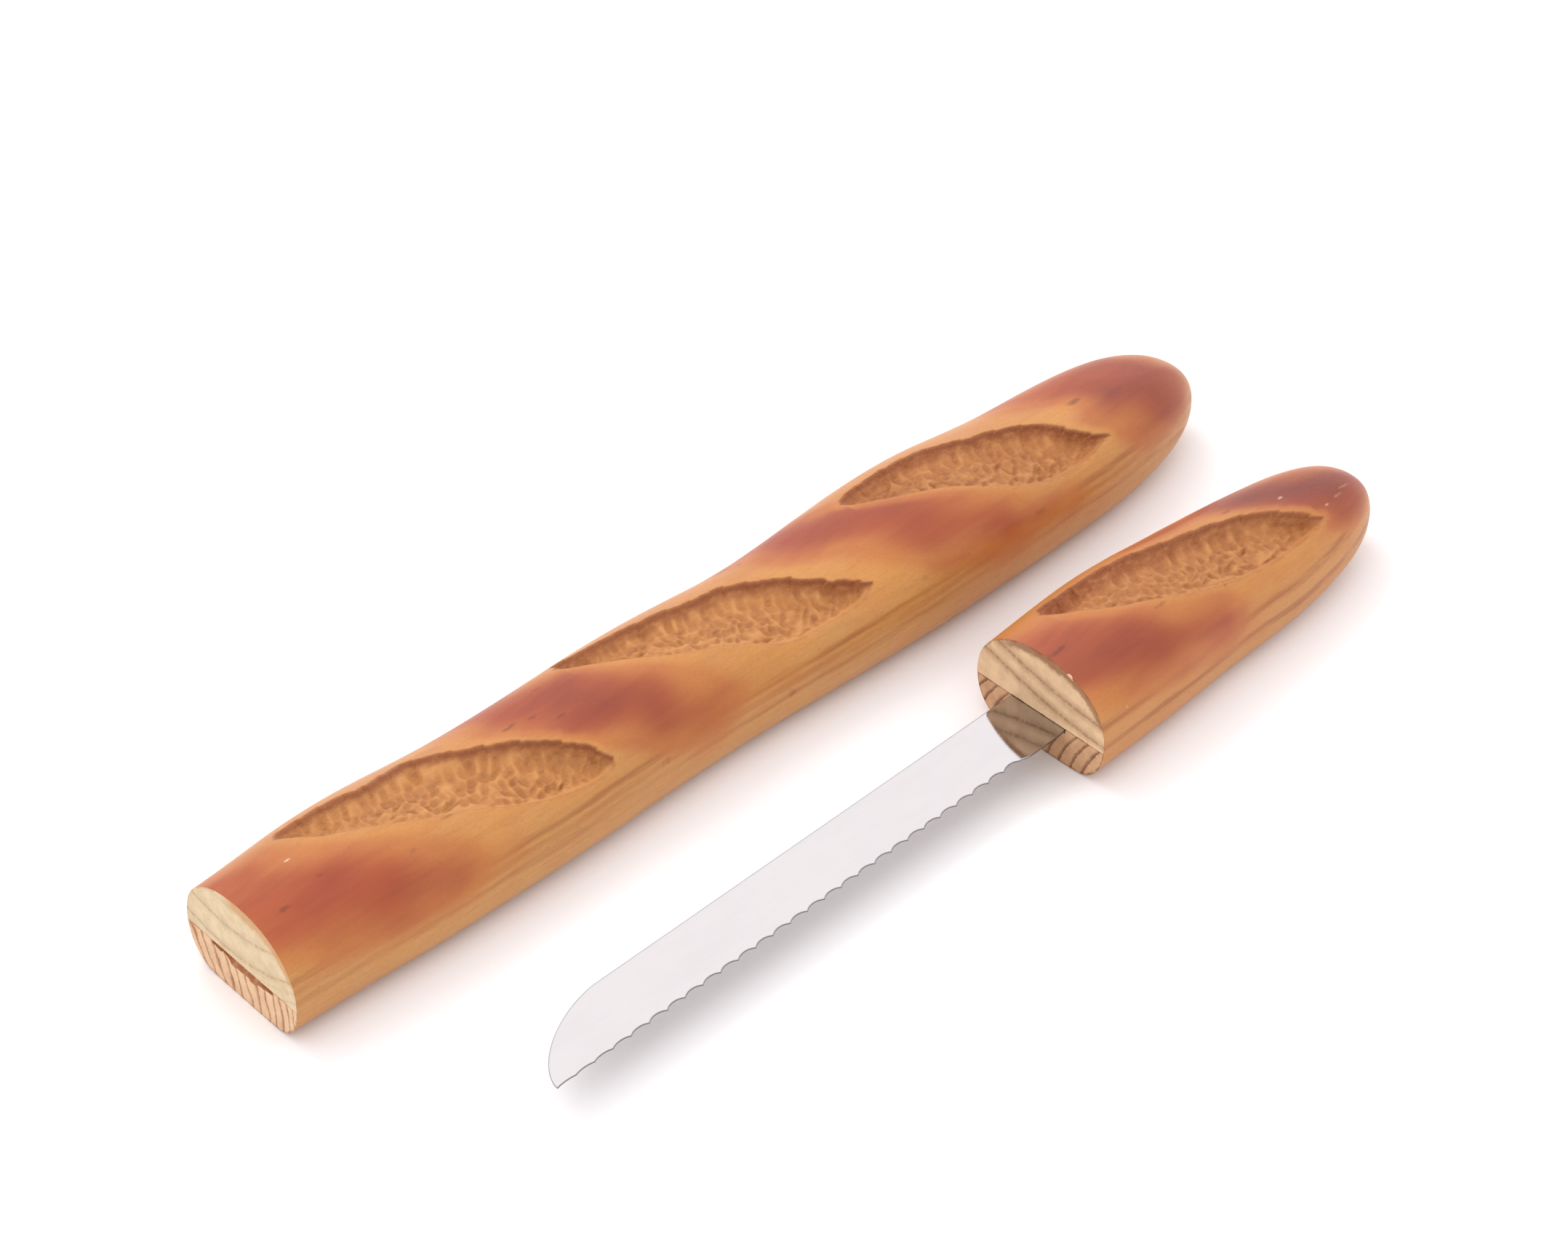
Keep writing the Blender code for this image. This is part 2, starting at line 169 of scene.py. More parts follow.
SHEATH = {"nose": 70.0, "half_width": 26.9, "flank_peak": 80.0, "flank": EVEN_FLANK, "seed": 11,
          "scores": SHEATH_SCORES, "walls": SHEATH_WALLS, "stains": SHEATH_STAINS,
          "marks": SHEATH_MARKS, "chips": SHEATH_CHIPS}
HANDLE = {"nose": 76.0, "half_width": 25.4, "flank_peak": 20.0, "flank": HANDLE_FLANK, "seed": 31,
          "scores": HANDLE_SCORES, "walls": HANDLE_WALLS, "stains": HANDLE_STAINS,
          "marks": HANDLE_MARKS, "chips": HANDLE_CHIPS}

# Studio, in metres: brightness of the surroundings, the softbox, the reflector card and the camera.
HORIZON_LEVEL, ZENITH_LEVEL = 0.95, 1.48
SOFTBOX_PLACE, SOFTBOX_SIZE, SOFTBOX_WATTS = (0.12, 0.85, 1.05), (0.9, 0.7), 5.0
CARD_PLACE, CARD_TARGET, CARD_SIZE = (0.86, 0.84, 0.99), (-0.06, -0.04, 0.01), (1.5, 1.2)
CARD_LEVEL = 0.52
CAMERA_PLACE = (-0.69996, -0.67816, 0.82107)
CAMERA_TILT, CAMERA_TURN = 51.463, -44.85
CAMERA_LENS, SENSOR_WIDTH = 97.56, 36.0


# ---------------------------------------------------------------- numbers and noise

def smooth(value, low, high):
    share = np.clip((value - low) / (high - low), 0.0, 1.0)
    return share * share * (3 - 2 * share)


def soft_min(a, b, radius):
    share = np.clip(0.5 + 0.5 * (b - a) / radius, 0.0, 1.0)
    return b + (a - b) * share - radius * share * (1 - share)


def signed_power(value, power):
    return np.sign(value) * np.abs(value) ** power


def spaced(segments):
    """Rising values that cover the (start, end, pitch) segments in turn."""
    values = [np.linspace(start, end, max(2, round((end - start) / pitch) + 1))[:-1]
              for start, end, pitch in segments]
    return np.concatenate(values + [[segments[-1][1]]])


def noise(points, pitch, seed):
    """Gradient noise, about -1 to 1, over an array of 3-D points; pitch may differ by axis."""
    rng = np.random.default_rng(seed)
    slots = rng.permutation(256)
    slots = np.concatenate((slots, slots))
    arrows = rng.normal(size=(256, 3))
    arrows /= np.linalg.norm(arrows, axis=1, keepdims=True)
    scaled = np.asarray(points, float) / np.asarray(pitch, float)
    cell = np.floor(scaled).astype(int)
    local = scaled - cell
    ease = local ** 3 * (local * (local * 6 - 15) + 10)
    total = np.zeros(scaled.shape[:-1])
    for corner in np.ndindex(2, 2, 2):
        x, y, z = ((cell[..., axis] + corner[axis]) & 255 for axis in range(3))
        arrow = arrows[slots[slots[slots[x] + y] + z]]
        sides = [ease[..., axis] if corner[axis] else 1 - ease[..., axis] for axis in range(3)]
        total += np.prod(sides, axis=0) * ((local - np.array(corner)) * arrow).sum(-1)
    return total * 1.6


def flat_noise(a, b, pitch, seed):
    return noise(np.stack((a, b, np.full_like(a, 0.37)), -1), pitch, seed)


def spline(points, steps=10):
    """Catmull-Rom curve through the points."""
    points = np.array(points, float)
    points = np.vstack((2 * points[0] - points[1], points, 2 * points[-1] - points[-2]))
    share = np.linspace(0, 1, steps, endpoint=False)[:, None]
    curve = []
    for a, b, c, d in zip(points, points[1:], points[2:], points[3:]):
        curve.append(0.5 * (2 * b + (c - a) * share + (2 * a - 5 * b + 4 * c - d) * share ** 2
                            + (3 * b - a - 3 * c + d) * share ** 3))
    return np.vstack(curve + [points[-2]])


def curve_distance(s, g, curve):
    """Distance from each point to a curve, and how far along the curve its nearest point is."""
    ends = curve[1:] - curve[:-1]
    lengths = np.linalg.norm(ends, axis=1)
    starts = np.concatenate(([0], np.cumsum(lengths)[:-1]))
    best = np.full(s.shape, 1e9)
    along = np.zeros(s.shape)
    for start, run, length, offset in zip(curve, ends, lengths, starts):
        share = np.clip(((s - start[0]) * run[0] + (g - start[1]) * run[1]) / length ** 2, 0, 1)
        gap = np.hypot(s - start[0] - share * run[0], g - start[1] - share * run[1])
        closer = gap < best
        best = np.where(closer, gap, best)
        along = np.where(closer, offset + share * length, along)
    return best, along


def segment_distance(s, g, start, end):
    run = np.subtract(end, start).astype(float)
    share = np.clip(((s - start[0]) * run[0] + (g - start[1]) * run[1]) / (run @ run), 0, 1)
    return np.hypot(s - start[0] - share * run[0], g - start[1] - share * run[1])


# ---------------------------------------------------------------- the loaf's surface

class Loaf:
    """One piece of the loaf: its shape, and its place in the frame."""

    def __init__(self, length, place, nose, half_width, flank_peak, flank, scores, walls, stains, marks,
                 chips, seed):
        self.length, self.place, self.nose = length, place, nose
        self.half_width, self.flank_peak, self.flank = half_width, flank_peak, spline(flank)
        self.scores, self.walls, self.stains = scores, walls, stains
        self.marks, self.chips, self.seed = marks, chips, seed
        turn = np.radians(np.arange(-90, 271, 0.25))
        y, z = self.section(np.full_like(turn, 0.3 * length), np.ones_like(turn), turn, flat=False)
        girth = np.concatenate(([0], np.cumsum(np.hypot(np.diff(y), np.diff(z)))))
        self.turn_table = turn
        self.girth_table = girth - np.interp(math.pi / 2, turn, girth)

    def section(self, s, fullness, turn, flat=True):
        """The surface's y and z at a station and an angle round the axis, flat for the planed base."""
        flank_wave = np.cos(2 * math.pi * (s - self.flank_peak) / FLANK_SWELL_PITCH)
        crown_wave = np.cos(2 * math.pi * (s - CROWN_SWELL_PEAK) / CROWN_SWELL_PITCH)
        side = self.half_width + FLANK_SWELL * flank_wave
        side = side + np.interp(s, self.flank[:, 0], self.flank[:, 1]) * np.clip(-np.cos(turn), 0, 1)
        crown = CROWN_HEIGHT + CROWN_SWELL * crown_wave
        rise = signed_power(np.sin(turn), 2 / ROUNDNESS)
        reach = np.where(rise > 0, crown - AXIS_HEIGHT, UNDERSIDE_RADIUS)
        y = fullness * side * signed_power(np.cos(turn), 2 / ROUNDNESS)
        z = AXIS_HEIGHT + fullness * reach * rise
        if flat:
            floor = AXIS_HEIGHT - UNDERSIDE_RADIUS
            sunk = 0.5 * (floor + math.hypot(floor, BASE_ROUNDING))
            z = np.maximum(0.5 * (z + np.hypot(z, BASE_ROUNDING)) - sunk, 0.0)
        return y, z

    def girth(self, turn):
        return np.interp(turn, self.turn_table, self.girth_table)

    def turn_at(self, girth):
        return np.interp(girth, self.girth_table, self.turn_table)

    def rows(self, pitch, nose_pitch, first=()):
        """Stations along the loaf with their fullness, up to but without the tip."""
        body = self.length - self.nose
        begin = first[-1][1] if first else 0.0
        s = spaced(tuple(first) + ((begin, body, pitch),))
        steps = round(1.25 * self.nose / nose_pitch)
        turn = math.pi / 2 * np.arange(1, steps) / steps
        s = np.concatenate((s, body + self.nose * np.sin(turn)))
        fullness = np.concatenate((np.ones(len(s) - len(turn)), np.cos(turn)))
        return s, fullness

    def tuck(self, fullness, level):
        """How far below the widest line, as an angle, the surface crosses a level under it."""
        share = np.clip((AXIS_HEIGHT - level) / (UNDERSIDE_RADIUS * fullness), 0, 1)
        return np.arcsin(share ** (ROUNDNESS / 2))

    def wobble(self, points):
        lift = WOBBLE * noise(points, (WOBBLE_PITCH * 1.6, WOBBLE_PITCH, WOBBLE_PITCH), self.seed)
        return lift + FACET * noise(points, (FACET_PITCH * 2, FACET_PITCH, FACET_PITCH), self.seed + 1)

    def skew(self, points):
        """The sawn face is a little out of square."""
        fade = np.clip(1 - points[..., 0] / CUT_FADE, 0, 1)
        points[..., 0] += CUT_SLOPE * points[..., 1] * fade
        return points


def surface_normals(points):
    along = np.gradient(points, axis=0)
    across = np.gradient(points, axis=1)
    normal = np.cross(across, along)
    normal /= np.maximum(np.linalg.norm(normal, axis=-1, keepdims=True), 1e-9)
    return normal


def gouges(along, share, width, length, lane, seed):
    """Depth from 0 to 1 of one lane of gouge cuts that overlap side by side along a score."""
    middle, reach, pitch, spread, _ = lane
    rng = np.random.default_rng(seed)
    depth = np.zeros_like(along)
    for step in np.arange(-3, length + 4, pitch):
        centre = step + rng.uniform(-0.35, 0.35) * pitch
        place = middle + rng.uniform(-0.08, 0.08)
        lean = rng.normal(0.1, spread)
        half_width = pitch * rng.uniform(0.55, 0.95)
        half_length = reach * rng.uniform(0.7, 1.25)
        strength = rng.uniform(0.5, 1.0)
        near = abs(along - centre) < 3 * pitch + 2
        across = (share[near] - place) * width[near]
        u = (along[near] - centre + lean * across) / half_width
        v = across / half_length
        bowl = strength * np.clip(1 - u * u, 0, 1) * np.clip(1 - v * v, 0, 1) ** 0.7
        depth[near] = np.maximum(depth[near], bowl)
    return depth


def rim_level(s, rim, beyond):
    """The rim's g at each station, and a far value past its ends."""
    order = np.argsort(rim[:, 0])
    return np.interp(s, rim[order, 0], rim[order, 1], left=beyond, right=beyond)


def score_floor(left_in, left_gap, left_along, share, room, seed):
    """Depth of a score before its gouge marks: fluted and steep on the left, rising to the right."""
    flutes = 0.42 * flat_noise(left_along, left_gap * 0.10, 3.0, seed + 2)
    flutes += 0.22 * flat_noise(left_along, left_gap * 0.12, 1.3, seed + 3)
    entry = np.maximum(left_in + flutes * smooth(left_in, 0.0, 1.5), 0)
    floor = SCORE_DEPTH * (0.4 + 0.6 * room) * (1 - np.exp(-entry / WALL_CURVE))
    return floor * (1 - (1 - RIGHT_SHARE) * share ** 1.1)


def score_wall(s, g, left_in, left_gap, left_along, travel, walls, seed):
    """How dark the left wall and the rest of a score are, 0 to 1: on the left wall it is stain with painted shade,
    as that wall faces away from the softbox; the rest is a darkening of the whole score.
    """
    near_reach, far_reach, near_dark, far_dark, tint = walls
    reach = near_reach + (far_reach - near_reach) * travel
    reach = reach * (1 + 0.3 * flat_noise(left_along, left_gap * 0.1, 5.0, seed + 8))
    wall = (1 - smooth(left_in, 0.2 * reach, reach)) * (near_dark + (far_dark - near_dark) * travel)
    return np.maximum(tint * (1 + 0.5 * flat_noise(s, g, 6.0, seed + 9)), wall)


def carve_score(s, g, rims, walls, seed):
    """One score: its depth at each surface point, and masks for the materials."""
    left, right = spline(rims[0]), spline(rims[1])
    shake = 0.45 * flat_noise(s, g, 3.6, seed) + 0.28 * flat_noise(s, g, 1.6, seed + 1)
    left_gap, left_along = curve_distance(s, g, left)
    right_gap, _ = curve_distance(s, g, right)
    tooth = (left_along / RIM_STEP_PITCH + 0.5 * flat_noise(left_along, 0 * g, 14.0, seed + 5)) % 1
    left_in = np.where(g > rim_level(s, left, 99), left_gap, -left_gap) + shake + RIM_STEP * (tooth - 0.5)
    right_in = np.where(g < rim_level(s, right, -99), right_gap, -right_gap) + 0.35 * shake
    inside = np.minimum(left_in, right_in)
    width = np.maximum(left_in + right_in, 0.1)
    share = np.clip(left_in / width, 0, 1)
    room = smooth(width, 1, 9)
    length = np.linalg.norm(left[-1] - left[0])
    run = (left[-1] - left[0]) / length
    bend_s = s + 0.5 * flat_noise(s, g, 4.0, seed + 7)
    along = (bend_s - left[0, 0]) * run[0] + (g - left[0, 1]) * run[1]
    floor = score_floor(left_in, left_gap, left_along, share, room, seed)
    floor += 0.38 * flat_noise(s, g, 8.0, seed + 4) * smooth(inside, 0.5, 3)
    # The gouge bowls also make the mask in which the materials paint shade.
    relief, pit = np.zeros_like(s), np.zeros_like(s)
    for number, lane in enumerate(GOUGE_LANES):
        bowl = gouges(along, share, width, length, lane, seed + 11 + number)
        relief = np.maximum(relief, lane[4] * bowl)
        pit = np.maximum(pit, bowl)
    fade = smooth(left_in, 0.8, 2.6) * smooth(right_in, 0.5, 1.8) * (0.5 + 0.5 * room)
    cut = floor + fade * (relief - 0.45) + 0.10 * flat_noise(s, g, 1.2, seed + 6)
    cut = soft_min(cut, 0.25 + right_in * RIGHT_WALL_SLOPE, 0.4)
    # The wall mask: stain with painted shade on the left wall, which faces away from the softbox.
    wall = score_wall(s, g, left_in, left_gap, left_along, np.clip(along / length, 0, 1), walls, seed)
    # Painted shade in the deep pocket where each score starts.
    start_pocket_shade = 1 - smooth(along, 2.5, 7.0)
    left_lip = 1 - smooth(np.abs(left_in - 0.3), 0.25, 0.9)
    right_lip = 1 - smooth(np.abs(right_in), 0.2, 0.6)
    return {"depth": np.where(inside > 0, np.maximum(cut, 0.12), 0),
            "score": smooth(inside, -0.1, 0.3),
            "wall": np.maximum(wall, 0.7 * start_pocket_shade),
            "lip": left_lip * (0.4 + 0.6 * (walls[2] + walls[3]) / 2) + 0.45 * right_lip,
            "pit": pit * fade,
            "inside": inside}


def carve(loaf, s, g):
    """Masks of all the scores, their depth among them, and how far away the nearest score is."""
    masks = {key: np.zeros_like(s) for key in ("depth", "score", "wall", "pit", "lip")}
    gap = np.full_like(s, FAR)
    for number, (rims, walls) in enumerate(zip(loaf.scores, loaf.walls)):
        low, high = rims[0][0][0], rims[0][-1][0]
        near = (s > low - 14) & (s < high + 14) & (g < 40) & (g > -36)
        score = carve_score(s[near], g[near], rims, walls, loaf.seed + 20 + 30 * number)
        gap[near] = np.minimum(gap[near], np.maximum(-score["inside"], 0))
        for key in masks:
            masks[key][near] = np.maximum(masks[key][near], score[key] * (score["inside"] > -0.8))
    return masks, gap


def spots(s, g, marks):
    """Soft oval spots, each (place, half length, half width, strength)."""
    shade = np.zeros_like(s)
    for (at, across), half_length, half_width, strength in marks:
        reach = np.hypot((s - at) / half_length, (g - across) / half_width)
        shade = np.maximum(shade, strength * (1 - smooth(reach, 0.35, 1.25)))
    return shade


def crust_masks(loaf, s, g, score_gap):
    """Where the stain, the dark marks and the chips in the varnish are, each 0 to 1."""
    warp_s = s + 5 * flat_noise(s, g, (26, 14, 1), loaf.seed + 40)
    warp_g = g + 2.6 * flat_noise(s, g, (30, 12, 1), loaf.seed + 41)
    bare, deep = np.ones_like(s), np.zeros_like(s)
    for start, end, half_width, strength in loaf.stains:
        gap = segment_distance(warp_s, warp_g, start, end)
        spray = 1 - smooth(gap, -0.35 * half_width, 2.05 * half_width)
        bare *= 1 - min(strength, 1.0) * spray
        deep = np.maximum(deep, max(strength - 1, 0) * 3 * spray)
    stain = 1 - bare
    stain *= 1 - 0.72 * (1 - smooth(score_gap, 0.0, 5.0))
    streak = flat_noise(s, g, (34, 1.5, 1), loaf.seed + 42)
    streak += 0.5 * flat_noise(s, g, (12, 0.7, 1), loaf.seed + 43)
    stain = np.clip(stain * (1 + 0.06 * streak), 0, 1)
    jag_s = s + 0.5 * flat_noise(s, g, 1.6, loaf.seed + 44)
    jag_g = g + 0.35 * flat_noise(s, g, 1.3, loaf.seed + 45)
    return {"stain": stain, "deep": np.clip(deep * stain, 0, 1), "mark": spots(jag_s, jag_g, loaf.marks),
            "chip": spots(jag_s, jag_g, loaf.chips)}


# ---------------------------------------------------------------- meshes

def link(name, data):
    """A new object in the scene."""
    obj = bpy.data.objects.new(name, data)
    bpy.context.scene.collection.objects.link(obj)
    return obj


class Build:
    """Collects the grids of one closed piece, then makes its object."""

    def __init__(self):
        self.points, self.faces, self.slots, self.masks = [], [], [], []
        self.count = 0

    def vertices(self, points, masks=None):
        """Adds points (rows, columns, 3) and gives their index grid."""
        shape = points.shape[:-1]
        flat = points.reshape(-1, 3)
        self.points.append(flat)
        masks = masks or {}
        self.masks.append({key: np.broadcast_to(value, shape).reshape(-1) for key, value in masks.items()})
        index = np.arange(self.count, self.count + len(flat)).reshape(shape)
        self.count += len(flat)
        return index

    def quads(self, index, slot):
        corners = (index[:-1, :-1], index[1:, :-1], index[1:, 1:], index[:-1, 1:])
        quads = np.stack(corners, -1).reshape(-1, 4)
        self.faces.extend(quads.tolist())
        self.slots.extend([slot] * len(quads))

    def face(self, corners, slot):
        self.faces.append([int(corner) for corner in corners])
        self.slots.append(slot)

    def finish(self, name, place, materials, keys, sharp=50):
        local = np.concatenate(self.points)
        mesh = bpy.data.meshes.new(name)
        mesh.from_pydata((local * MM).tolist(), [], self.faces)
        mesh.polygons.foreach_set("material_index", self.slots)
        at = mesh.attributes.new("at", "FLOAT_VECTOR", "POINT")
        at.data.foreach_set("vector", local.astype(np.float32).ravel())
        for key in keys:
            values = [masks.get(key, np.zeros(len(flat))) for masks, flat in zip(self.masks, self.points)]
            layer = mesh.attributes.new(key, "FLOAT", "POINT")
            layer.data.foreach_set("value", np.concatenate(values).astype(np.float32))
        bm = bmesh.new()
        bm.from_mesh(mesh)
        bmesh.ops.remove_doubles(bm, verts=bm.verts, dist=1e-7)
        bmesh.ops.dissolve_degenerate(bm, edges=bm.edges, dist=1e-8)
        bmesh.ops.recalc_face_normals(bm, faces=bm.faces)
        if bm.calc_volume(signed=True) < 0:
            bmesh.ops.reverse_faces(bm, faces=bm.faces)
        bm.to_mesh(mesh)
        bm.free()
        mesh.transform(place)
        for material in materials:
            mesh.materials.append(material)
        mesh.shade_smooth()
        mesh.set_sharp_from_angle(angle=math.radians(sharp))
        return link(name, mesh)


CRUST, SAWN, INNER = 0, 1, 2
WOOD_KEYS = ("stain", "deep", "mark", "chip", "score", "wall", "pit", "lip", "rim")


def upper_board(name, loaf, materials):
    """Domed board with the carved scores, closed underneath along the glue plane."""
    level = GLUE_HEIGHT + GLUE_LINE / 2
    s, fullness = loaf.rows(pitch=0.55, nose_pitch=0.75)
    middle = loaf.turn_at(spaced(GIRTH_COLUMNS))
    middle = middle[(middle > 0) & (middle < math.pi)]
    tuck = loaf.tuck(fullness, level)[:, None]
    share = np.linspace(1, 0, TUCK_COLUMNS + 1)[None, :]
    turn = np.hstack((-tuck * share, np.tile(middle, (len(s), 1)), math.pi + tuck * share[:, ::-1]))
    rows = np.broadcast_to(s[:, None], turn.shape)
    full = np.broadcast_to(fullness[:, None], turn.shape)
    y, z = loaf.section(rows, full, turn, flat=False)
    points = np.stack((rows, y, z), -1)
    girth = loaf.girth(turn)
    masks, score_gap = carve(loaf, rows, girth)
    masks.update(crust_masks(loaf, rows, girth, score_gap))
    normal = surface_normals(points)
    outward = np.sign((normal[..., 1] * y).sum())
    lift = loaf.wobble(points) * (1 - masks["score"]) - masks.pop("depth")
    points = points + normal * outward * lift[..., None]
    points[:, (0, -1), 2] = np.minimum(level, z[:, (0, -1)])
    points[:, 1:-1, 2] = np.maximum(points[:, 1:-1, 2], np.minimum(level, z[:, 1:-1]))
    points = loaf.skew(points)
    round_rows = tuck[:, 0] >= math.pi / 2
    points[round_rows, -1] = points[round_rows, 0]
    build = Build()
    skin = build.vertices(points, masks)
    build.quads(skin, CRUST)
    tip_point = np.array([[[loaf.length, 0.0, AXIS_HEIGHT]]])
    tip = build.vertices(tip_point, {"stain": masks["stain"][-1].mean()})[0, 0]
    for here, after in zip(skin[-1], skin[-1, 1:]):
        build.face((here, after, tip), CRUST)
    build.face((skin[-1, -1], skin[-1, 0], tip), CRUST)
    for row in range(1, len(s) - 1):
        if tuck[row, 0] < math.pi / 2 or tuck[row + 1, 0] < math.pi / 2:
            build.face((skin[row, 0], skin[row + 1, 0], skin[row + 1, -1], skin[row, -1]), INNER)
    cap = cap_rows(build, skin[0], points[0], flat_line(points[0], level), loaf)
    build.face(list(cap[-1]) + [skin[1, -1], skin[1, 0]], INNER)
    return build.finish(name, loaf.place, materials, WOOD_KEYS)


def flat_line(outline, level):
    """Points on the glue line under or over each outline point."""
    line = outline.copy()
    edge = min(outline[0, 1], -outline[-1, 1])
    line[1:-1, 1] = np.clip(line[1:-1, 1] * 0.985, -edge, edge)
    line[:, 2] = level
    line[:, 0] = CUT_SLOPE * line[:, 1]
    return line


def cap_rows(build, outer_index, outer, inner, loaf):
    """Fills the sawn face between its outline and an inner line with a grid, slightly torn by the saw."""
    share = np.linspace(0, 1, CAP_ROWS + 1)[1:, None, None] ** 1.3
    points = outer[None] * (1 - share) + inner[None] * share
    grain = 0.07 * noise(points, (1, 1.1, 2.2), loaf.seed + 60)
    grain += 0.05 * noise(points, (1, 0.5, 5), loaf.seed + 61)
    points[:-1, 1:-1, 0] += grain[:-1, 1:-1]
    rim = np.linalg.norm(points - outer[None], axis=-1)
    rows = build.vertices(points[:, 1:-1], {"rim": rim[:, 1:-1]})
    left = np.full((CAP_ROWS, 1), outer_index[0])
    right = np.full((CAP_ROWS, 1), outer_index[-1])
    grid = np.vstack((outer_index[None], np.hstack((left, rows, right))))
    build.quads(grid[:, 1:-1], SAWN)
    for near, far in zip(grid, grid[1:]):
        build.face((near[0], near[1], far[1]), SAWN)
        build.face((near[-1], near[-2], far[-2]), SAWN)
    return grid


def lower_board(name, loaf, materials, hollow):
    """Board with the flat underside, its upper face cut by the hollow."""
    level = GLUE_HEIGHT - GLUE_LINE / 2
    s, fullness = loaf.rows(pitch=1.1, nose_pitch=1.1, first=((0, 6, 0.4),))
    present = UNDERSIDE_RADIUS * fullness * 0.999 > AXIS_HEIGHT - level
    s, fullness = s[present], fullness[present]
    tuck = loaf.tuck(fullness, level)
    base = hollow.columns
    share = (base - base[0]) / (base[-1] - base[0])
    turn = math.pi + tuck[:, None] + (math.pi - 2 * tuck[:, None]) * share[None]
    rows = np.broadcast_to(s[:, None], turn.shape)
    full = np.broadcast_to(fullness[:, None], turn.shape)
    y, z = loaf.section(rows, full, turn)
    points = np.stack((rows, y, z), -1)
    normal = surface_normals(np.stack((rows, *loaf.section(rows, full, turn, flat=False)), -1))
    outward = np.sign((normal[..., 1] * y).sum())
    fade = smooth(z, 0.0, 6.0)
    points = points + normal * outward * (loaf.wobble(points) * fade)[..., None]
    points[:, (0, -1), 2] = level
    points[..., 2] = np.clip(points[..., 2], 0, level)
    girth = loaf.girth(np.where(turn > 1.5 * math.pi, turn - 2 * math.pi, turn))
    masks = crust_masks(loaf, rows, girth, np.full_like(girth, FAR))
    top_y = hollow.spread(-points[:, :1, 1], points[:, -1:, 1])
    top_z = level - hollow.depth(rows, top_y)
    top = loaf.skew(np.stack((rows, top_y, top_z), -1))
    points = loaf.skew(points)
    build = Build()
    skin = build.vertices(points, masks)
    build.quads(skin, CRUST)
    # Painted shade: inner faces darken where they lie below the glue plane, more so further in from the mouth.
    recess_shade = smooth(level - top_z, 0.3, 1.0) * (0.35 + 0.65 * smooth(rows, 1.0, 4.0))
    inner = build.vertices(top[:, 1:-1], {"pit": recess_shade[:, 1:-1]})
    upper = np.hstack((skin[:, :1], inner, skin[:, -1:]))
    build.quads(upper[:, ::-1], INNER)
    tip_s = loaf.length - loaf.nose * (1 - math.sqrt(1 - ((AXIS_HEIGHT - level) / UNDERSIDE_RADIUS) ** 2))
    tip = build.vertices(np.array([[[tip_s, 0.0, level]]]))[0, 0]
    for line, slot in ((skin[-1], CRUST), (upper[-1, ::-1], INNER)):
        for here, after in zip(line, line[1:]):
            build.face((here, after, tip), slot)
    lower_cap(build, skin[0], points[0], inner[0], top[0], loaf)
    return build.finish(name, loaf.place, materials, WOOD_KEYS)


def lower_cap(build, outer_index, outer, inner_index, inner, loaf):
    """Fills a lower board's sawn face between its outline and the edge of its upper face."""
    share = np.linspace(0, 1, CAP_ROWS + 1)[1:-1, None, None]
    points = outer[None] * (1 - share) + inner[None] * share
    points[:, 1:-1, 0] += 0.14 * noise(points, (1, 0.9, 2), loaf.seed + 70)[:, 1:-1]
    rim = np.linalg.norm(points - outer[None], axis=-1)
    rows = build.vertices(points[:, 1:-1], {"rim": rim[:, 1:-1]})
    grid = np.vstack((outer_index[None, 1:-1], rows, inner_index[None]))
    build.quads(grid, SAWN)
    for column, corner in ((0, outer_index[0]), (-1, outer_index[-1])):
        for near, far in zip(grid[:, column], grid[1:, column]):
            build.face((near, far, corner), SAWN)


class Hollow:
    """A cut into the upper face of a lower board, worked out on fixed columns across it.

    The columns are fine out to the edge, doubled at the cut's walls, and coarse from there to the widest
    place. depth(s, y) is how deep the cut is.
    """

    LAND = 4.0                   # how much narrower the board gets before the columns follow it

    def __init__(self, edge, walls, widest, depth):
        plain = list(np.arange(-edge, edge + 0.3, 0.6))
        wall = [side + shift for side in walls for shift in (-0.04, 0.04)]
        inside = sorted(set(round(value, 3) for value in plain + wall))
        outside = list(np.linspace(edge, widest, round((widest - edge) / 0.9) + 1)[1:])
        self.columns = np.array([-value for value in reversed(outside)] + inside + outside)
        self.edge, self.depth = edge, depth

    def spread(self, right, left):
        """The columns' y in each row, from how far the board reaches to the right and left there."""
        base, widest = self.columns[None], self.columns[-1]
        half = np.where(base < 0, right, left)
        narrowed = base * np.where(half < widest - self.LAND, half / widest, 1)
        outer_part = (abs(base) - self.edge) / (widest - self.edge)
        stretched = np.sign(base) * (self.edge + (half - self.edge) * outer_part)
        return np.where((abs(base) > self.edge) & (half > self.edge + self.LAND), stretched, narrowed)


def channel_depth(s, y):
    """Blade channel, whose floor the saw tore away in steps at the mouth."""
    steps = np.floor((y + 1.4 * flat_noise(y, 0 * s, 3.0, 301)) / 3.1)
    torn = 3.0 + 0.5 * np.sin(steps * 2.4) + 0.3 * flat_noise(y, s * 0.3, 0.9, 302)
    torn -= 1.7 * smooth(-y, 5.0, 14.2) + 1.8 * smooth(y, 4.5, 10.0)
    sill = 2.1 + 0.3 * flat_noise(s, y, (1.6, 1.3, 1), 304)
    inside = SLOT_HEIGHT - 0.35 + 0.12 * flat_noise(s, y, (9, 2, 1), 303)
    mouth = torn + (sill - torn) * smooth(s, 0.2, 3.0)
    deep = np.where(s < 3.0, mouth, sill + (inside - sill) * smooth(s, 4.0, 8.0))
    open_here = (abs(y) < SLOT_HALF_WIDTH) & (s < SLOT_DEPTH)
    return np.where(open_here, np.clip(deep, 0.3, SLOT_HEIGHT), 0.0)


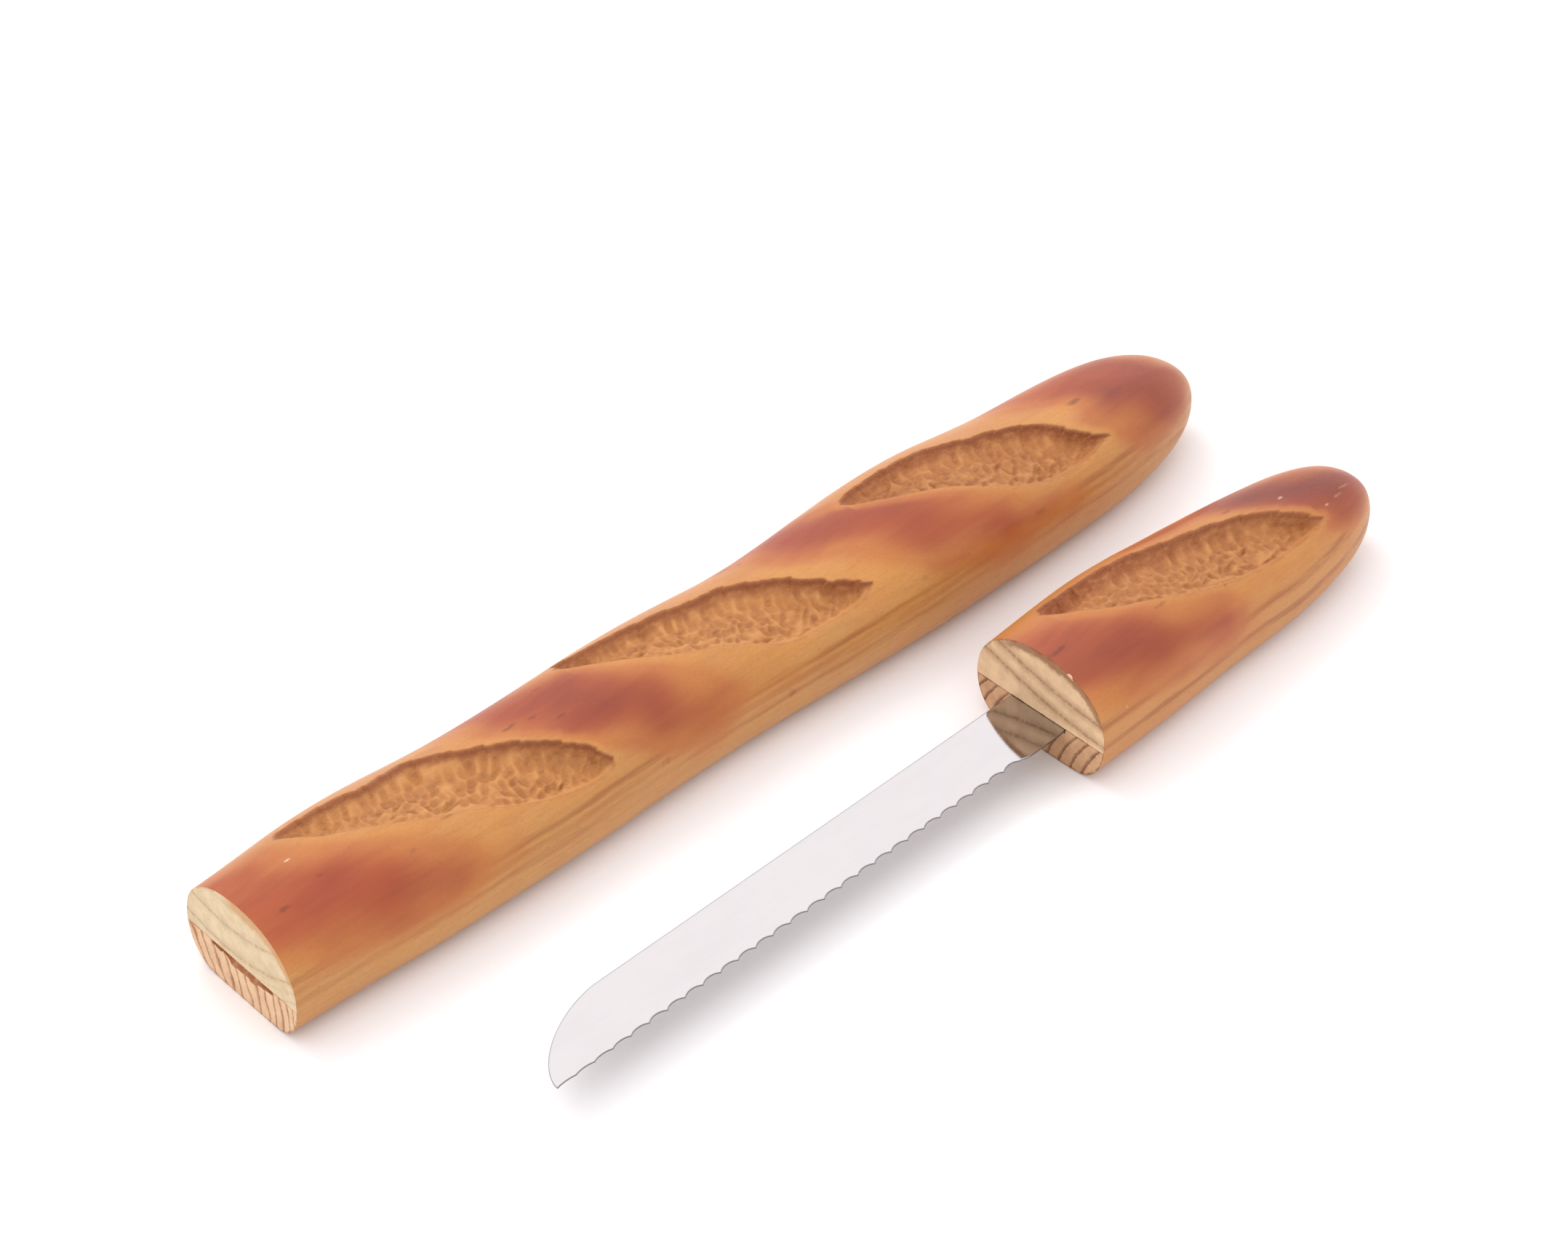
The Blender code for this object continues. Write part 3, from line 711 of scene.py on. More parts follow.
def mortise_depth(s, y):
    """Stepped pocket for the blade's shoulder and tang, with room for the two pins."""
    floor = GLUE_HEIGHT - BLADE_TOP + BLADE_THICKNESS + 0.06
    beside_shoulder = (y > EDGE_Y - MORTISE_ROOM) & (y < SPINE_Y + MORTISE_ROOM)
    beside_tang = abs(y - TANG_CENTRE_Y) < TANG_WIDTH / 2 + MORTISE_ROOM
    shoulder = (s < SHOULDER_DEPTH + MORTISE_END) & beside_shoulder
    tang = (s < TANG_DEPTH + MORTISE_END) & beside_tang
    depth = np.where(shoulder | tang, floor, 0.0)
    for place in PIN_PLACES:
        hole = np.hypot(s - place, y - TANG_CENTRE_Y) < PIN_ROOM
        depth = np.where(hole, GLUE_HEIGHT - PIN_FOOT, depth)
    return depth


# ---------------------------------------------------------------- blade

def blade_columns():
    """Stations along the blade from the tip to the end of the tang, with the outline's two sides."""
    pitch = (BLADE_LENGTH - HEEL_LENGTH) / SCALLOPS
    turn = np.linspace(0, math.pi / 2, 70)[1:]
    nose_x = -(BLADE_LENGTH - NOSE_LENGTH + NOSE_LENGTH * np.cos(turn) ** (2 / NOSE_POWER))
    nose_y = EDGE_Y + (SPINE_Y - EDGE_Y) * np.sin(turn) ** (2 / NOSE_POWER)
    scallop_x = -(HEEL_LENGTH + pitch * np.arange(SCALLOPS * SCALLOP_COLUMNS + 1) / SCALLOP_COLUMNS)
    heel_x = -np.linspace(0, HEEL_LENGTH, 40)[:-1]
    rear_x = SHOULDER_DEPTH + np.linspace(0.02, TANG_DEPTH - SHOULDER_DEPTH, 30)
    tang_x = np.concatenate((np.linspace(0, SHOULDER_DEPTH, 6)[1:], rear_x))
    x = np.unique(np.round(np.concatenate((nose_x[:-1:2], scallop_x[:-1], heel_x, tang_x)), 3))
    x = x[x > -BLADE_LENGTH + 0.02]
    high = np.where(x < nose_x[-1], np.interp(x, nose_x, nose_y), SPINE_Y)
    place = np.clip((-x - HEEL_LENGTH) / pitch, 0, SCALLOPS)
    share = place % 1
    fade = np.clip((SCALLOPS - np.floor(place) + 1) / (FADING_SCALLOPS + 1), 0, 1)
    low = EDGE_Y + SCALLOP_DEPTH * fade * (1 - np.abs(2 * share - 1) ** 2.2)
    heel = HEEL_Y + (EDGE_Y - HEEL_Y) * smooth(-x, HEEL_LENGTH - HEEL_ROUND, HEEL_LENGTH)
    corner = EDGE_Y - 0.2 + (HEEL_Y - EDGE_Y + 0.2) * smooth(-x, 0, HEEL_ROUND)
    heel = np.where(-x < HEEL_ROUND, corner, heel)
    low = np.where(x > -HEEL_LENGTH, heel, low)
    low = np.where(x > SHOULDER_DEPTH + 0.01, TANG_CENTRE_Y - TANG_WIDTH / 2, low)
    high = np.where(x > SHOULDER_DEPTH + 0.01, TANG_CENTRE_Y + TANG_WIDTH / 2, high)
    low = np.where((x > 0) & (x <= SHOULDER_DEPTH + 0.01), EDGE_Y, low)
    return x, low, high, share, fade


def build_blade(place, material):
    """Flat strip, ground from below along the scallops, with a thin worn edge all round."""
    x, low, high, share, fade = blade_columns()
    rows = np.concatenate((np.array(GRIND_STEPS) / FULL_WIDTH, np.linspace(0.46, 0.9, 6), SPINE_SHARES))
    width = (high - low)[:, None]
    y = low[:, None] + width * rows[None]
    xs = np.broadcast_to(x[:, None], y.shape)
    from_edge, from_spine = y - low[:, None], high[:, None] - y
    gullet = GRIND_WIDTH * (0.86 + 0.3 * (1 - np.abs(2 * share - 1) ** 2) * fade)[:, None]
    ground = np.where(xs < 0, smooth(from_edge, 0, gullet), 1.0)
    thick = GRIND_EDGE + (BLADE_THICKNESS - GRIND_EDGE) * ground
    thinned = NOSE_EDGE + (BLADE_THICKNESS - NOSE_EDGE) * smooth(from_spine, 0, 2.2)
    thick = np.minimum(thick, np.where(xs < NOSE_LENGTH - BLADE_LENGTH, thinned, BLADE_THICKNESS))
    worn = 0.06 * (1 - smooth(np.minimum(from_edge, from_spine), 0, 0.25)) * (xs < 0)
    top = BLADE_TOP - worn
    bottom = BLADE_TOP - thick
    # Mask for the painted dark line along the edge, standing for the shade its bevel reflects.
    edge = (1 - smooth(np.minimum(from_edge, from_spine * 1.6), 0.05, 0.42)) * (xs < 0)
    build = Build()
    upper = build.vertices(np.stack((xs, y, top), -1), {"edge": edge})
    lower = build.vertices(np.stack((xs, y, bottom), -1), {"edge": edge})
    build.quads(upper, 0)
    build.quads(lower[:, ::-1], 0)
    for side in (0, -1):
        build.quads(np.stack((upper[:, side], lower[:, side]), 1), 0)
    build.quads(np.stack((upper[-1], lower[-1]), 1), 0)
    tip = np.array([[[-BLADE_LENGTH, EDGE_Y + 0.05, BLADE_TOP - drop] for drop in (0.1, 0.4)]])
    tip = build.vertices(tip, {"edge": 1.0})[0]
    for line, point in ((upper[0], tip[0]), (lower[0], tip[1])):
        for here, after in zip(line, line[1:]):
            build.face((here, after, point), 0)
    for side in (0, -1):
        build.face((upper[0, side], lower[0, side], tip[1], tip[0]), 0)
    return build.finish("blade_ground", place, [material], ("edge",), sharp=30)


def build_splinter(loaf, material):
    """Sliver that the saw lifted on the handle's upper rim."""
    base = np.array([[-0.10, -9.8, 34.1], [0.25, -9.9, 34.2], [0.3, -12.4, 33.3], [-0.12, -12.7, 33.0]])
    top = np.array([[-0.35, -10.4, 34.7], [-0.15, -10.6, 34.9], [-0.05, -11.6, 34.9], [-0.32, -12.0, 34.3]])
    lean = np.linspace(0, 1, 4)[:, None, None]
    rings = base[None] * (1 - lean) + top[None] * lean
    rings += 0.12 * noise(rings, 0.7, 5)[..., None]
    rings[..., 0] += CUT_SLOPE * rings[..., 1]
    build = Build()
    index = build.vertices(rings, {"rim": 5.0})
    build.quads(np.hstack((index, index[:, :1])), 0)
    build.face(index[0], 0)
    build.face(index[-1], 0)
    return build.finish("rim_splinter", loaf.place, [material], WOOD_KEYS, sharp=30)


# ---------------------------------------------------------------- materials

class Nodes:
    """Short names for making a material's nodes."""

    def __init__(self, name):
        self.material = bpy.data.materials.new(name)
        self.material.use_nodes = True
        self.tree = self.material.node_tree
        self.shader = self.tree.nodes["Principled BSDF"]

    def plug(self, socket, value):
        if isinstance(value, bpy.types.NodeSocket):
            self.tree.links.new(value, socket)
        elif isinstance(value, tuple) and len(value) == 3 and socket.type == "RGBA":
            socket.default_value = (*value, 1.0)
        else:
            socket.default_value = value

    def make(self, kind, *values, **settings):
        """A node with its settings and its first inputs."""
        node = self.tree.nodes.new("ShaderNode" + kind)
        for key, value in settings.items():
            setattr(node, key, value)
        for socket, value in zip(node.inputs, values):
            self.plug(socket, value)
        return node

    def math(self, operation, a, b=0.0, clamp=False):
        return self.make("Math", a, b, operation=operation, use_clamp=clamp).outputs[0]

    def add(self, first, *others):
        for other in others:
            first = self.math("ADD", first, other)
        return first

    def minus(self, a, b):
        return self.math("SUBTRACT", a, b)

    def times(self, a, b, clamp=False):
        return self.math("MULTIPLY", a, b, clamp)

    def range(self, value, low, high, to_low=0.0, to_high=1.0):
        """The value taken smoothly from one range to another and held there."""
        node = self.make("MapRange", value, low, high, to_low, to_high, interpolation_type="SMOOTHSTEP")
        return node.outputs["Result"]

    def mix(self, factor, a, b):
        """Colour a, with as much of colour b over it as the factor says."""
        node = self.make("Mix", factor, data_type="RGBA")
        self.plug(node.inputs[6], a)
        self.plug(node.inputs[7], b)
        return node.outputs[2]

    def mask(self, name):
        return self.make("Attribute", attribute_name=name).outputs["Fac"]

    def at(self):
        return self.make("Attribute", attribute_name="at").outputs["Vector"]

    def here(self):
        """The place in the object's own frame, in metres."""
        return self.make("TexCoord").outputs["Object"]

    def split(self, vector):
        return self.make("SeparateXYZ", vector).outputs

    def noise(self, vector, sizes, detail=3.0, roughness=0.55, distortion=0.0):
        """Noise with its own feature size along each axis, in the vector's units."""
        scaled = self.make("VectorMath", vector, sizes, operation="DIVIDE").outputs[0]
        node = self.make("TexNoise", scaled)
        settings = {"Scale": 1.0, "Detail": detail, "Roughness": roughness, "Distortion": distortion}
        for key, value in settings.items():
            self.plug(node.inputs[key], value)
        return node.outputs["Fac"]

    def sway(self, vector, sizes, amount, detail, roughness=0.55):
        """Noise about zero, times an amount."""
        return self.times(self.add(self.noise(vector, sizes, detail, roughness), -0.5), amount)

    def bump(self, height, distance, strength):
        node = self.make("Bump")
        self.plug(node.inputs["Strength"], strength)
        self.plug(node.inputs["Distance"], distance)
        self.plug(node.inputs["Height"], height)
        return node.outputs[0]

    def set(self, **inputs):
        for key, value in inputs.items():
            self.plug(self.shader.inputs[key.replace("_", " ")], value)
        return self.material


WOOD_LEVEL = 0.80                # brings the wood's tones to albedo under the studio light
STRAW_LEVEL = 0.94               # the same for the sheath's bright lower end grain


def colour(red, green, blue, level=WOOD_LEVEL):
    """An sRGB colour of 0 to 255 as the linear colour that nodes take, times a level."""
    return tuple(level * (c / 12.92 if c <= 0.04045 else ((c + 0.055) / 1.055) ** 2.4)
                 for c in (red / 255, green / 255, blue / 255))


HONEY = colour(212, 152, 84)
GOLD = colour(218, 152, 76)
FLANK = colour(212, 158, 98)
ORANGE = colour(204, 126, 62)
RUST = colour(190, 104, 56)
GRAIN_BROWN = colour(160, 92, 44)
STAIN_RED = colour(176, 76, 42)
STAIN_DEEP = colour(156, 58, 36)
STAIN_DARK = colour(120, 50, 42)
MARK_BROWN = colour(96, 46, 28)
CHIP_PALE = colour(240, 214, 176)
# Wood in the scores: pale between the gouge bowls, the hollow and pit tones painted shade in the bowls, and the
# wall tone stain with painted shade on the left wall, also the dark of the fine grain.
SCORE_HOLLOW_SHADE = colour(190, 124, 66)
SCORE_PALE = colour(214, 150, 88)
SCORE_PIT_SHADE = colour(146, 94, 52)
SCORE_WALL = colour(150, 76, 34)
SCORE_RIM = colour(136, 68, 36)
# Growth rings of each upper board: slope and curvature across it, then (height on the axis, strength).
SHEATH_RINGS = (-0.12, 0.008, ((8.4, 0.7), (12.2, 0.45), (15.9, 1.0), (24.9, 0.9), (33.2, 0.4)))
HANDLE_RINGS = (0.20, 0.003, ((18.9, 1.0), (25.6, 1.0), (34.5, 0.4)))


def ring_lines(n, at, rings, width):
    """The growth lines of an upper board: each line's strength on it, 0 between them."""
    slope, curvature, levels = rings
    s, y, z = n.split(at)
    bend = n.add(n.times(y, slope), n.times(n.times(y, y), curvature))
    drift = n.times(n.sway(at, (70, 60, 60), 6.0, 1.0), n.range(s, 0.0, 60.0))
    waver = n.sway(at, (22, 5, 5), n.range(s, 0.0, 20.0, 1.0, 2.6), 3.0)
    height = n.add(n.minus(z, bend), drift, waver)
    shade = 0.0
    for level, strength in levels:
        gap = n.math("ABSOLUTE", n.minus(height, level))
        shade = n.math("MAXIMUM", shade, n.range(gap, 0.15 * width, width, strength, 0.0))
    return shade


def golden_wood(n, at, rings, warmth, streak, fine, patch):
    """Varnished wood without stain: golden on top, paler and more grained down the flanks."""
    _, y, z = n.split(at)
    low = n.range(z, 31.0, 22.0)
    tone = n.mix(n.range(patch, 0.3, 0.72), GOLD, HONEY)
    tone = n.mix(n.times(n.range(streak, 0.42, 0.72), n.add(n.times(low, 0.4), 0.25)), tone, ORANGE)
    tone = n.mix(n.times(low, 0.45), tone, FLANK)
    cloud = n.range(n.noise(at, (16, 7, 7), 3.0), 0.45, 0.7, 0.0, 0.22)
    toast = n.add(n.times(n.range(z, 29.0, 37.0), 0.22), cloud, n.range(y, -4.0, 14.0, 0.0, 0.22), warmth)
    tone = n.mix(toast, tone, ORANGE)
    lines = n.times(ring_lines(n, at, rings, 2.0), n.range(streak, 0.35, 0.6, 0.3, 1.0))
    tone = n.mix(n.times(lines, n.add(n.times(low, 0.6), 0.08)), tone, GRAIN_BROWN)
    return n.mix(n.range(fine, 0.5, 0.75, 0.0, 0.2), tone, GRAIN_BROWN)


def stained(n, tone, streak, patch):
    """The sprayed stain over it, from orange at its border to dark red in the middle."""
    stain = n.mask("stain")
    warm = n.mix(n.range(patch, 0.35, 0.7), ORANGE, RUST)
    tone = n.mix(n.range(stain, 0.0, 0.42, 0.0, 0.92), tone, warm)
    red = n.mix(n.range(patch, 0.4, 0.75), STAIN_RED, STAIN_DEEP)
    red = n.mix(n.range(streak, 0.45, 0.75, 0.0, 0.16), red, RUST)
    tone = n.mix(n.range(stain, 0.38, 1.0, 0.0, 0.92), tone, red)
    return n.mix(n.times(n.mask("deep"), 0.85), tone, STAIN_DARK)


def blemished(n, at, tone):
    """Pores, grit, the dark marks and the chips in the varnish."""
    fleck = n.range(n.noise(at, (3.2, 0.32, 0.32), 1.0), 0.70, 0.78)
    tone = n.mix(n.times(fleck, 0.5), tone, GRAIN_BROWN)
    dots = n.range(n.noise(at, (1.5, 0.9, 0.9), 2.0, 0.6), 0.715, 0.77)
    tone = n.mix(n.times(dots, 0.5), tone, MARK_BROWN)
    grit = n.noise(at, (1.6, 0.7, 0.7), 4.0, 0.7)
    tone = n.mix(n.range(grit, 0.35, 0.7, 0.0, 0.16), tone, GRAIN_BROWN)
    tone = n.mix(n.times(n.mask("mark"), 0.65), tone, MARK_BROWN)
    return n.mix(n.mask("chip"), tone, CHIP_PALE)


def carved_wood(n, at, fine):
    """Wood inside the scores: painted shade in the gouge hollows, and stain with painted shade on the left wall.
    """
    pit, wall = n.mask("pit"), n.mask("wall")
    mottle = n.noise(at, (3.0, 1.8, 1.8), 3.0, 0.6)
    tone = n.mix(n.range(pit, 0.1, 0.75), SCORE_PALE, SCORE_HOLLOW_SHADE)
    tone = n.mix(n.range(n.add(n.times(pit, 0.6), mottle), 0.85, 1.3, 0.0, 0.75), tone, SCORE_PIT_SHADE)
    # Stain with painted shade on the left wall.
    tone = n.mix(n.times(wall, n.range(mottle, 0.25, 0.6, 0.5, 0.9)), tone, SCORE_WALL)
    return n.mix(n.range(fine, 0.5, 0.8, 0.0, 0.3), tone, SCORE_WALL)


def crust_material(name, rings, streak_length, warmth):
    """Stained and varnished outside, and the carved wood inside the scores."""
    n = Nodes(name)
    at, score = n.at(), n.mask("score")
    streak = n.noise(at, (streak_length, 2.6, 2.6), 4.0, 0.6, 0.3)
    fine = n.noise(at, (18, 0.5, 0.5), 3.0, 0.6)
    patch = n.noise(at, (34, 12, 12), 2.0, 0.5)
    crust = golden_wood(n, at, rings, warmth, streak, fine, patch)
    crust = blemished(n, at, stained(n, crust, streak, patch))
    tone = n.mix(score, crust, carved_wood(n, at, fine))
    tone = n.mix(n.times(n.mask("lip"), 0.62, clamp=True), tone, SCORE_RIM)
    fibre = n.noise(at, (9, 0.28, 0.28), 4.0, 0.65)
    speck = n.noise(at, (0.9, 0.6, 0.6), 3.0, 0.6)
    relief = n.add(n.times(fibre, 0.4), n.times(speck, n.add(0.2, n.times(score, 2.6))))
    rough = n.add(n.range(speck, 0.3, 0.7, 0.40, 0.50), n.times(score, 0.14))
    coat = n.times(n.minus(1.0, n.times(score, 0.7)), 0.13)
    return n.set(Base_Color=tone, Roughness=rough, Coat_Weight=coat, Coat_Roughness=0.25,
                 Normal=n.bump(relief, 0.00015, 0.6), Specular_IOR_Level=0.32)


def board_rings(n, at, rings, band):
    """End grain of an upper board: thin broken lines inside wide faint bands."""
    broken = n.range(n.noise(at, (1, 1.2, 1.2), 4.0, 0.75), 0.36, 0.56)
    sharp = n.times(ring_lines(n, at, rings, 0.9), broken)
    return n.add(n.times(sharp, 0.5), n.times(ring_lines(n, at, rings, 3.2), band))


def steep_rings(n, at, pitch, mirror):
    """Close rings of a lower board: dark on one side and fading to the other."""
    _, y, z = n.split(at)
    if mirror:
        bend = n.add(n.times(z, 0.25), n.times(n.times(z, z), 0.02))
        jitter = n.sway(at, (40, 7, 9), 1.4, 1.0)
    else:
        bend = n.times(n.add(0.28, n.times(y, 0.011)), n.minus(12.0, z))
        closer = n.math("MAXIMUM", n.minus(-6.0, y), 0.0)
        jitter = n.minus(n.sway(at, (40, 6, 12), 5.0, 1.0), n.times(n.times(closer, closer), 0.022))
    ragged = n.sway(at, (40, 0.8, 1.2), 0.9, 3.0)
    place = n.add(y, bend, 70.0, n.add(jitter, ragged))
    phase = n.math("FRACT", n.times(place, 1 / pitch))
    return n.times(n.range(phase, 0.0, 0.08), n.range(phase, 0.12, 0.40, 1.0, 0.0))


def sawn_material(name, pale, dark, bleed, bleed_reach, bleed_side, rings=None, band=0.18, pitch=4.9,
                  mirror=False):
    """End grain on a sawn face, with the growth rings of an upper board or of a lower one (rings None)."""
    n = Nodes(name)
    at = n.at()
    _, y, z = n.split(at)
    blotch = n.noise(at, (5, 5, 5), 3.0, 0.6)
    pores = n.noise(at, (0.5, 0.42, 0.42), 2.0, 0.6)
    if rings is None:
        lines = n.times(steep_rings(n, at, pitch, mirror), n.range(blotch, 0.25, 0.6, 0.65, 1.0))
    else:
        lines = board_rings(n, at, rings, band)
    warm_side = n.times(n.range(n.noise(at, (9, 3.5, 2.5), 2.0), 0.5, 0.62), n.range(y, 6.0, -3.0))
    blush = n.mix(warm_side, dark, bleed)
    tone = n.mix(n.range(blotch, 0.35, 0.75, 0.0, 0.25), pale, dark)
    tone = n.mix(n.times(lines, 0.82, clamp=True), tone, blush)
    tone = n.mix(n.range(pores, 0.60, 0.72, 0.0, 0.3), tone, dark)
    edge = n.add(n.mask("rim"), n.sway(at, (3, 2.4, 2.4), 3.4, 4.0, 0.65))
    tone = n.mix(n.range(edge, -0.2, 0.9, 0.7, 0.0), tone, bleed)
    near_top = n.times(n.range(z, 20.0, 25.0), n.range(y, bleed_side, bleed_side - 7.0))
    soaked = n.times(n.range(edge, 0.5 * bleed_reach, bleed_reach, 0.72, 0.0), near_top)
    tone = n.mix(soaked, tone, bleed)
    glue = n.range(n.math("ABSOLUTE", n.add(z, -GLUE_HEIGHT)), 0.12, 0.45, 0.75, 0.0)
    tone = n.mix(n.times(glue, n.range(blotch, 0.35, 0.6, 0.3, 1.0)), tone, bleed)
    cut_marks = n.noise(at, (1, 0.22, 6), 2.0, 0.6)
    relief = n.add(n.times(pores, 0.6), n.add(n.times(cut_marks, 0.4), n.times(lines, -0.35)))
    return n.set(Base_Color=tone, Roughness=0.72, Normal=n.bump(relief, 0.0003, 0.8),
                 Specular_IOR_Level=0.25)


def inner_material(name, bare, stained):
    """Faces inside the glue joint and the blade channel: bare wood mottled with a darker tone, which is also
    painted as shade where the faces lie down in a hollow.
    """
    n = Nodes(name)
    at = n.at()
    grain = n.noise(at, (3.0, 1.1, 1.1), 3.0, 0.6)
    tone = n.mix(n.range(grain, 0.35, 0.7, 0.0, 0.5), bare, stained)
    tone = n.mix(n.times(n.mask("pit"), n.range(grain, 0.3, 0.62, 0.35, 1.0)), tone, stained)
    return n.set(Base_Color=tone, Roughness=0.8, Normal=n.bump(grain, 0.0002, 0.6),
                 Specular_IOR_Level=0.2)


def blade_material():
    """Bright polished steel with faint lengthways scratches, rougher along its thin edge, where a dark line is
    painted for the shade that the edge's bevel reflects.
    """
    n = Nodes("polished_blade_steel")
    at = n.at()
    polish = n.noise(at, (45, 0.35, 5), 4.0, 0.6)
    cloud = n.noise(at, (26, 9, 9), 3.0, 0.6)
    hair = n.range(n.noise(at, (30, 0.16, 5), 1.0, 0.5, 0.4), 0.70, 0.76)
    tone = n.mix(n.range(cloud, 0.3, 0.75), (0.485, 0.462, 0.466), (0.470, 0.448, 0.452))
    tone = n.mix(n.times(hair, 0.2), tone, (0.36, 0.345, 0.345))
    edge = n.mask("edge")
    # Painted reflection: a dark line along the thin edge.
    tone = n.mix(n.times(edge, 0.9), tone, (0.13, 0.125, 0.125))
    rough = n.add(n.range(polish, 0.3, 0.8, 0.035, 0.075), n.add(n.times(edge, 0.3), n.times(hair, 0.1)))
    return n.set(Base_Color=tone, Metallic=1.0, Roughness=rough, Normal=n.bump(polish, 0.00002, 0.25))


def pin_material():
    """Plain drawn wire."""
    n = Nodes("drawn_pin_steel")
    drawn = n.noise(n.here(), (0.0002, 0.0002, 0.004), 3.0, 0.6)
    tone = n.mix(drawn, (0.36, 0.36, 0.37), (0.55, 0.55, 0.55))
    return n.set(Base_Color=tone, Metallic=1.0, Roughness=n.range(drawn, 0.3, 0.7, 0.3, 0.5),
                 Normal=n.bump(drawn, 0.00005, 0.4))


def floor_material():
    """Matt white paper."""
    n = Nodes("studio_paper")
    tooth = n.noise(n.here(), (0.0016, 0.0016, 0.0016), 3.0)
    tone = n.mix(n.range(tooth, 0.2, 0.8), (0.900, 0.888, 0.893), (0.910, 0.898, 0.903))
    return n.set(Base_Color=tone, Roughness=0.9, Specular_IOR_Level=0.1)


# ---------------------------------------------------------------- studio

def add_stage():
    """Pale floor under everything."""
    reach, steps = 3.0, 24
    ticks = np.linspace(-reach, reach, steps + 1)
    x, y = np.meshgrid(ticks, ticks, indexing="ij")
    build = Build()
    index = build.vertices(np.stack((x, y, 0 * x), -1) / MM)
    build.quads(index, 0)
    floor = build.finish("studio_floor", Matrix.Identity(4), [floor_material()], ())


def add_light():
    """White surroundings, and one broad soft light from the far left that casts the soft shadows."""
    scene = bpy.context.scene
    scene.view_settings.view_transform = "Standard"
    scene.world = bpy.data.worlds.new("white_studio")
    scene.world.use_nodes = True
    tree = scene.world.node_tree
    background = tree.nodes["Background"]
    background.inputs["Color"].default_value = (1.0, 0.985, 0.995, 1.0)
    split = tree.nodes.new("ShaderNodeSeparateXYZ")
    tree.links.new(tree.nodes.new("ShaderNodeTexCoord").outputs["Generated"], split.inputs[0])
    height = tree.nodes.new("ShaderNodeMapRange")
    height.inputs["To Min"].default_value = HORIZON_LEVEL
    height.inputs["To Max"].default_value = ZENITH_LEVEL
    tree.links.new(split.outputs["Z"], height.inputs["Value"])
    tree.links.new(height.outputs["Result"], background.inputs["Strength"])
    softbox = area_lamp("softbox", SOFTBOX_SIZE, SOFTBOX_WATTS, SOFTBOX_PLACE, (0.0, 0.0, 0.0))
    softbox.data.color = (1.0, 0.985, 0.97)
    softbox.visible_glossy = False


def add_card():
    """Bright card that only shows in reflections: it whitens the flat of the blade."""
    watts = CARD_LEVEL * math.pi * CARD_SIZE[0] * CARD_SIZE[1]
    card = area_lamp("reflector_card", CARD_SIZE, watts, CARD_PLACE, CARD_TARGET)
    card.visible_diffuse = False
    card.visible_camera = False


def area_lamp(name, size, watts, place, target):
    lamp = bpy.data.lights.new(name, "AREA")
    lamp.shape = "RECTANGLE"
    lamp.size, lamp.size_y = size
    lamp.energy = watts
    obj = link(name, lamp)
    obj.location = place
    obj.rotation_euler = (Vector(target) - Vector(place)).to_track_quat("-Z", "Y").to_euler()
    return obj


def add_camera():
    """Camera at the photograph's viewing angle."""
    data = bpy.data.cameras.new("camera")
    data.lens, data.sensor_width = CAMERA_LENS, SENSOR_WIDTH
    data.clip_start, data.clip_end = 0.05, 20.0
    camera = link("camera", data)
    camera.location = CAMERA_PLACE
    camera.rotation_euler = (math.radians(CAMERA_TILT), 0.0, math.radians(CAMERA_TURN))
    bpy.context.scene.camera = camera


# ---------------------------------------------------------------- assembly

def mount(name):
    return next(m for m in frame["record"]["mounts"] if m["name"] == name)


def place_of(face, yaw):
    x, y, _ = mount(face)["pos_m"]
    return Matrix.Translation((x, y, 0)) @ Matrix.Rotation(yaw, 4, "Z")


def keep(piece, body, slot, *nodes):
    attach(piece, body)
    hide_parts(*nodes)


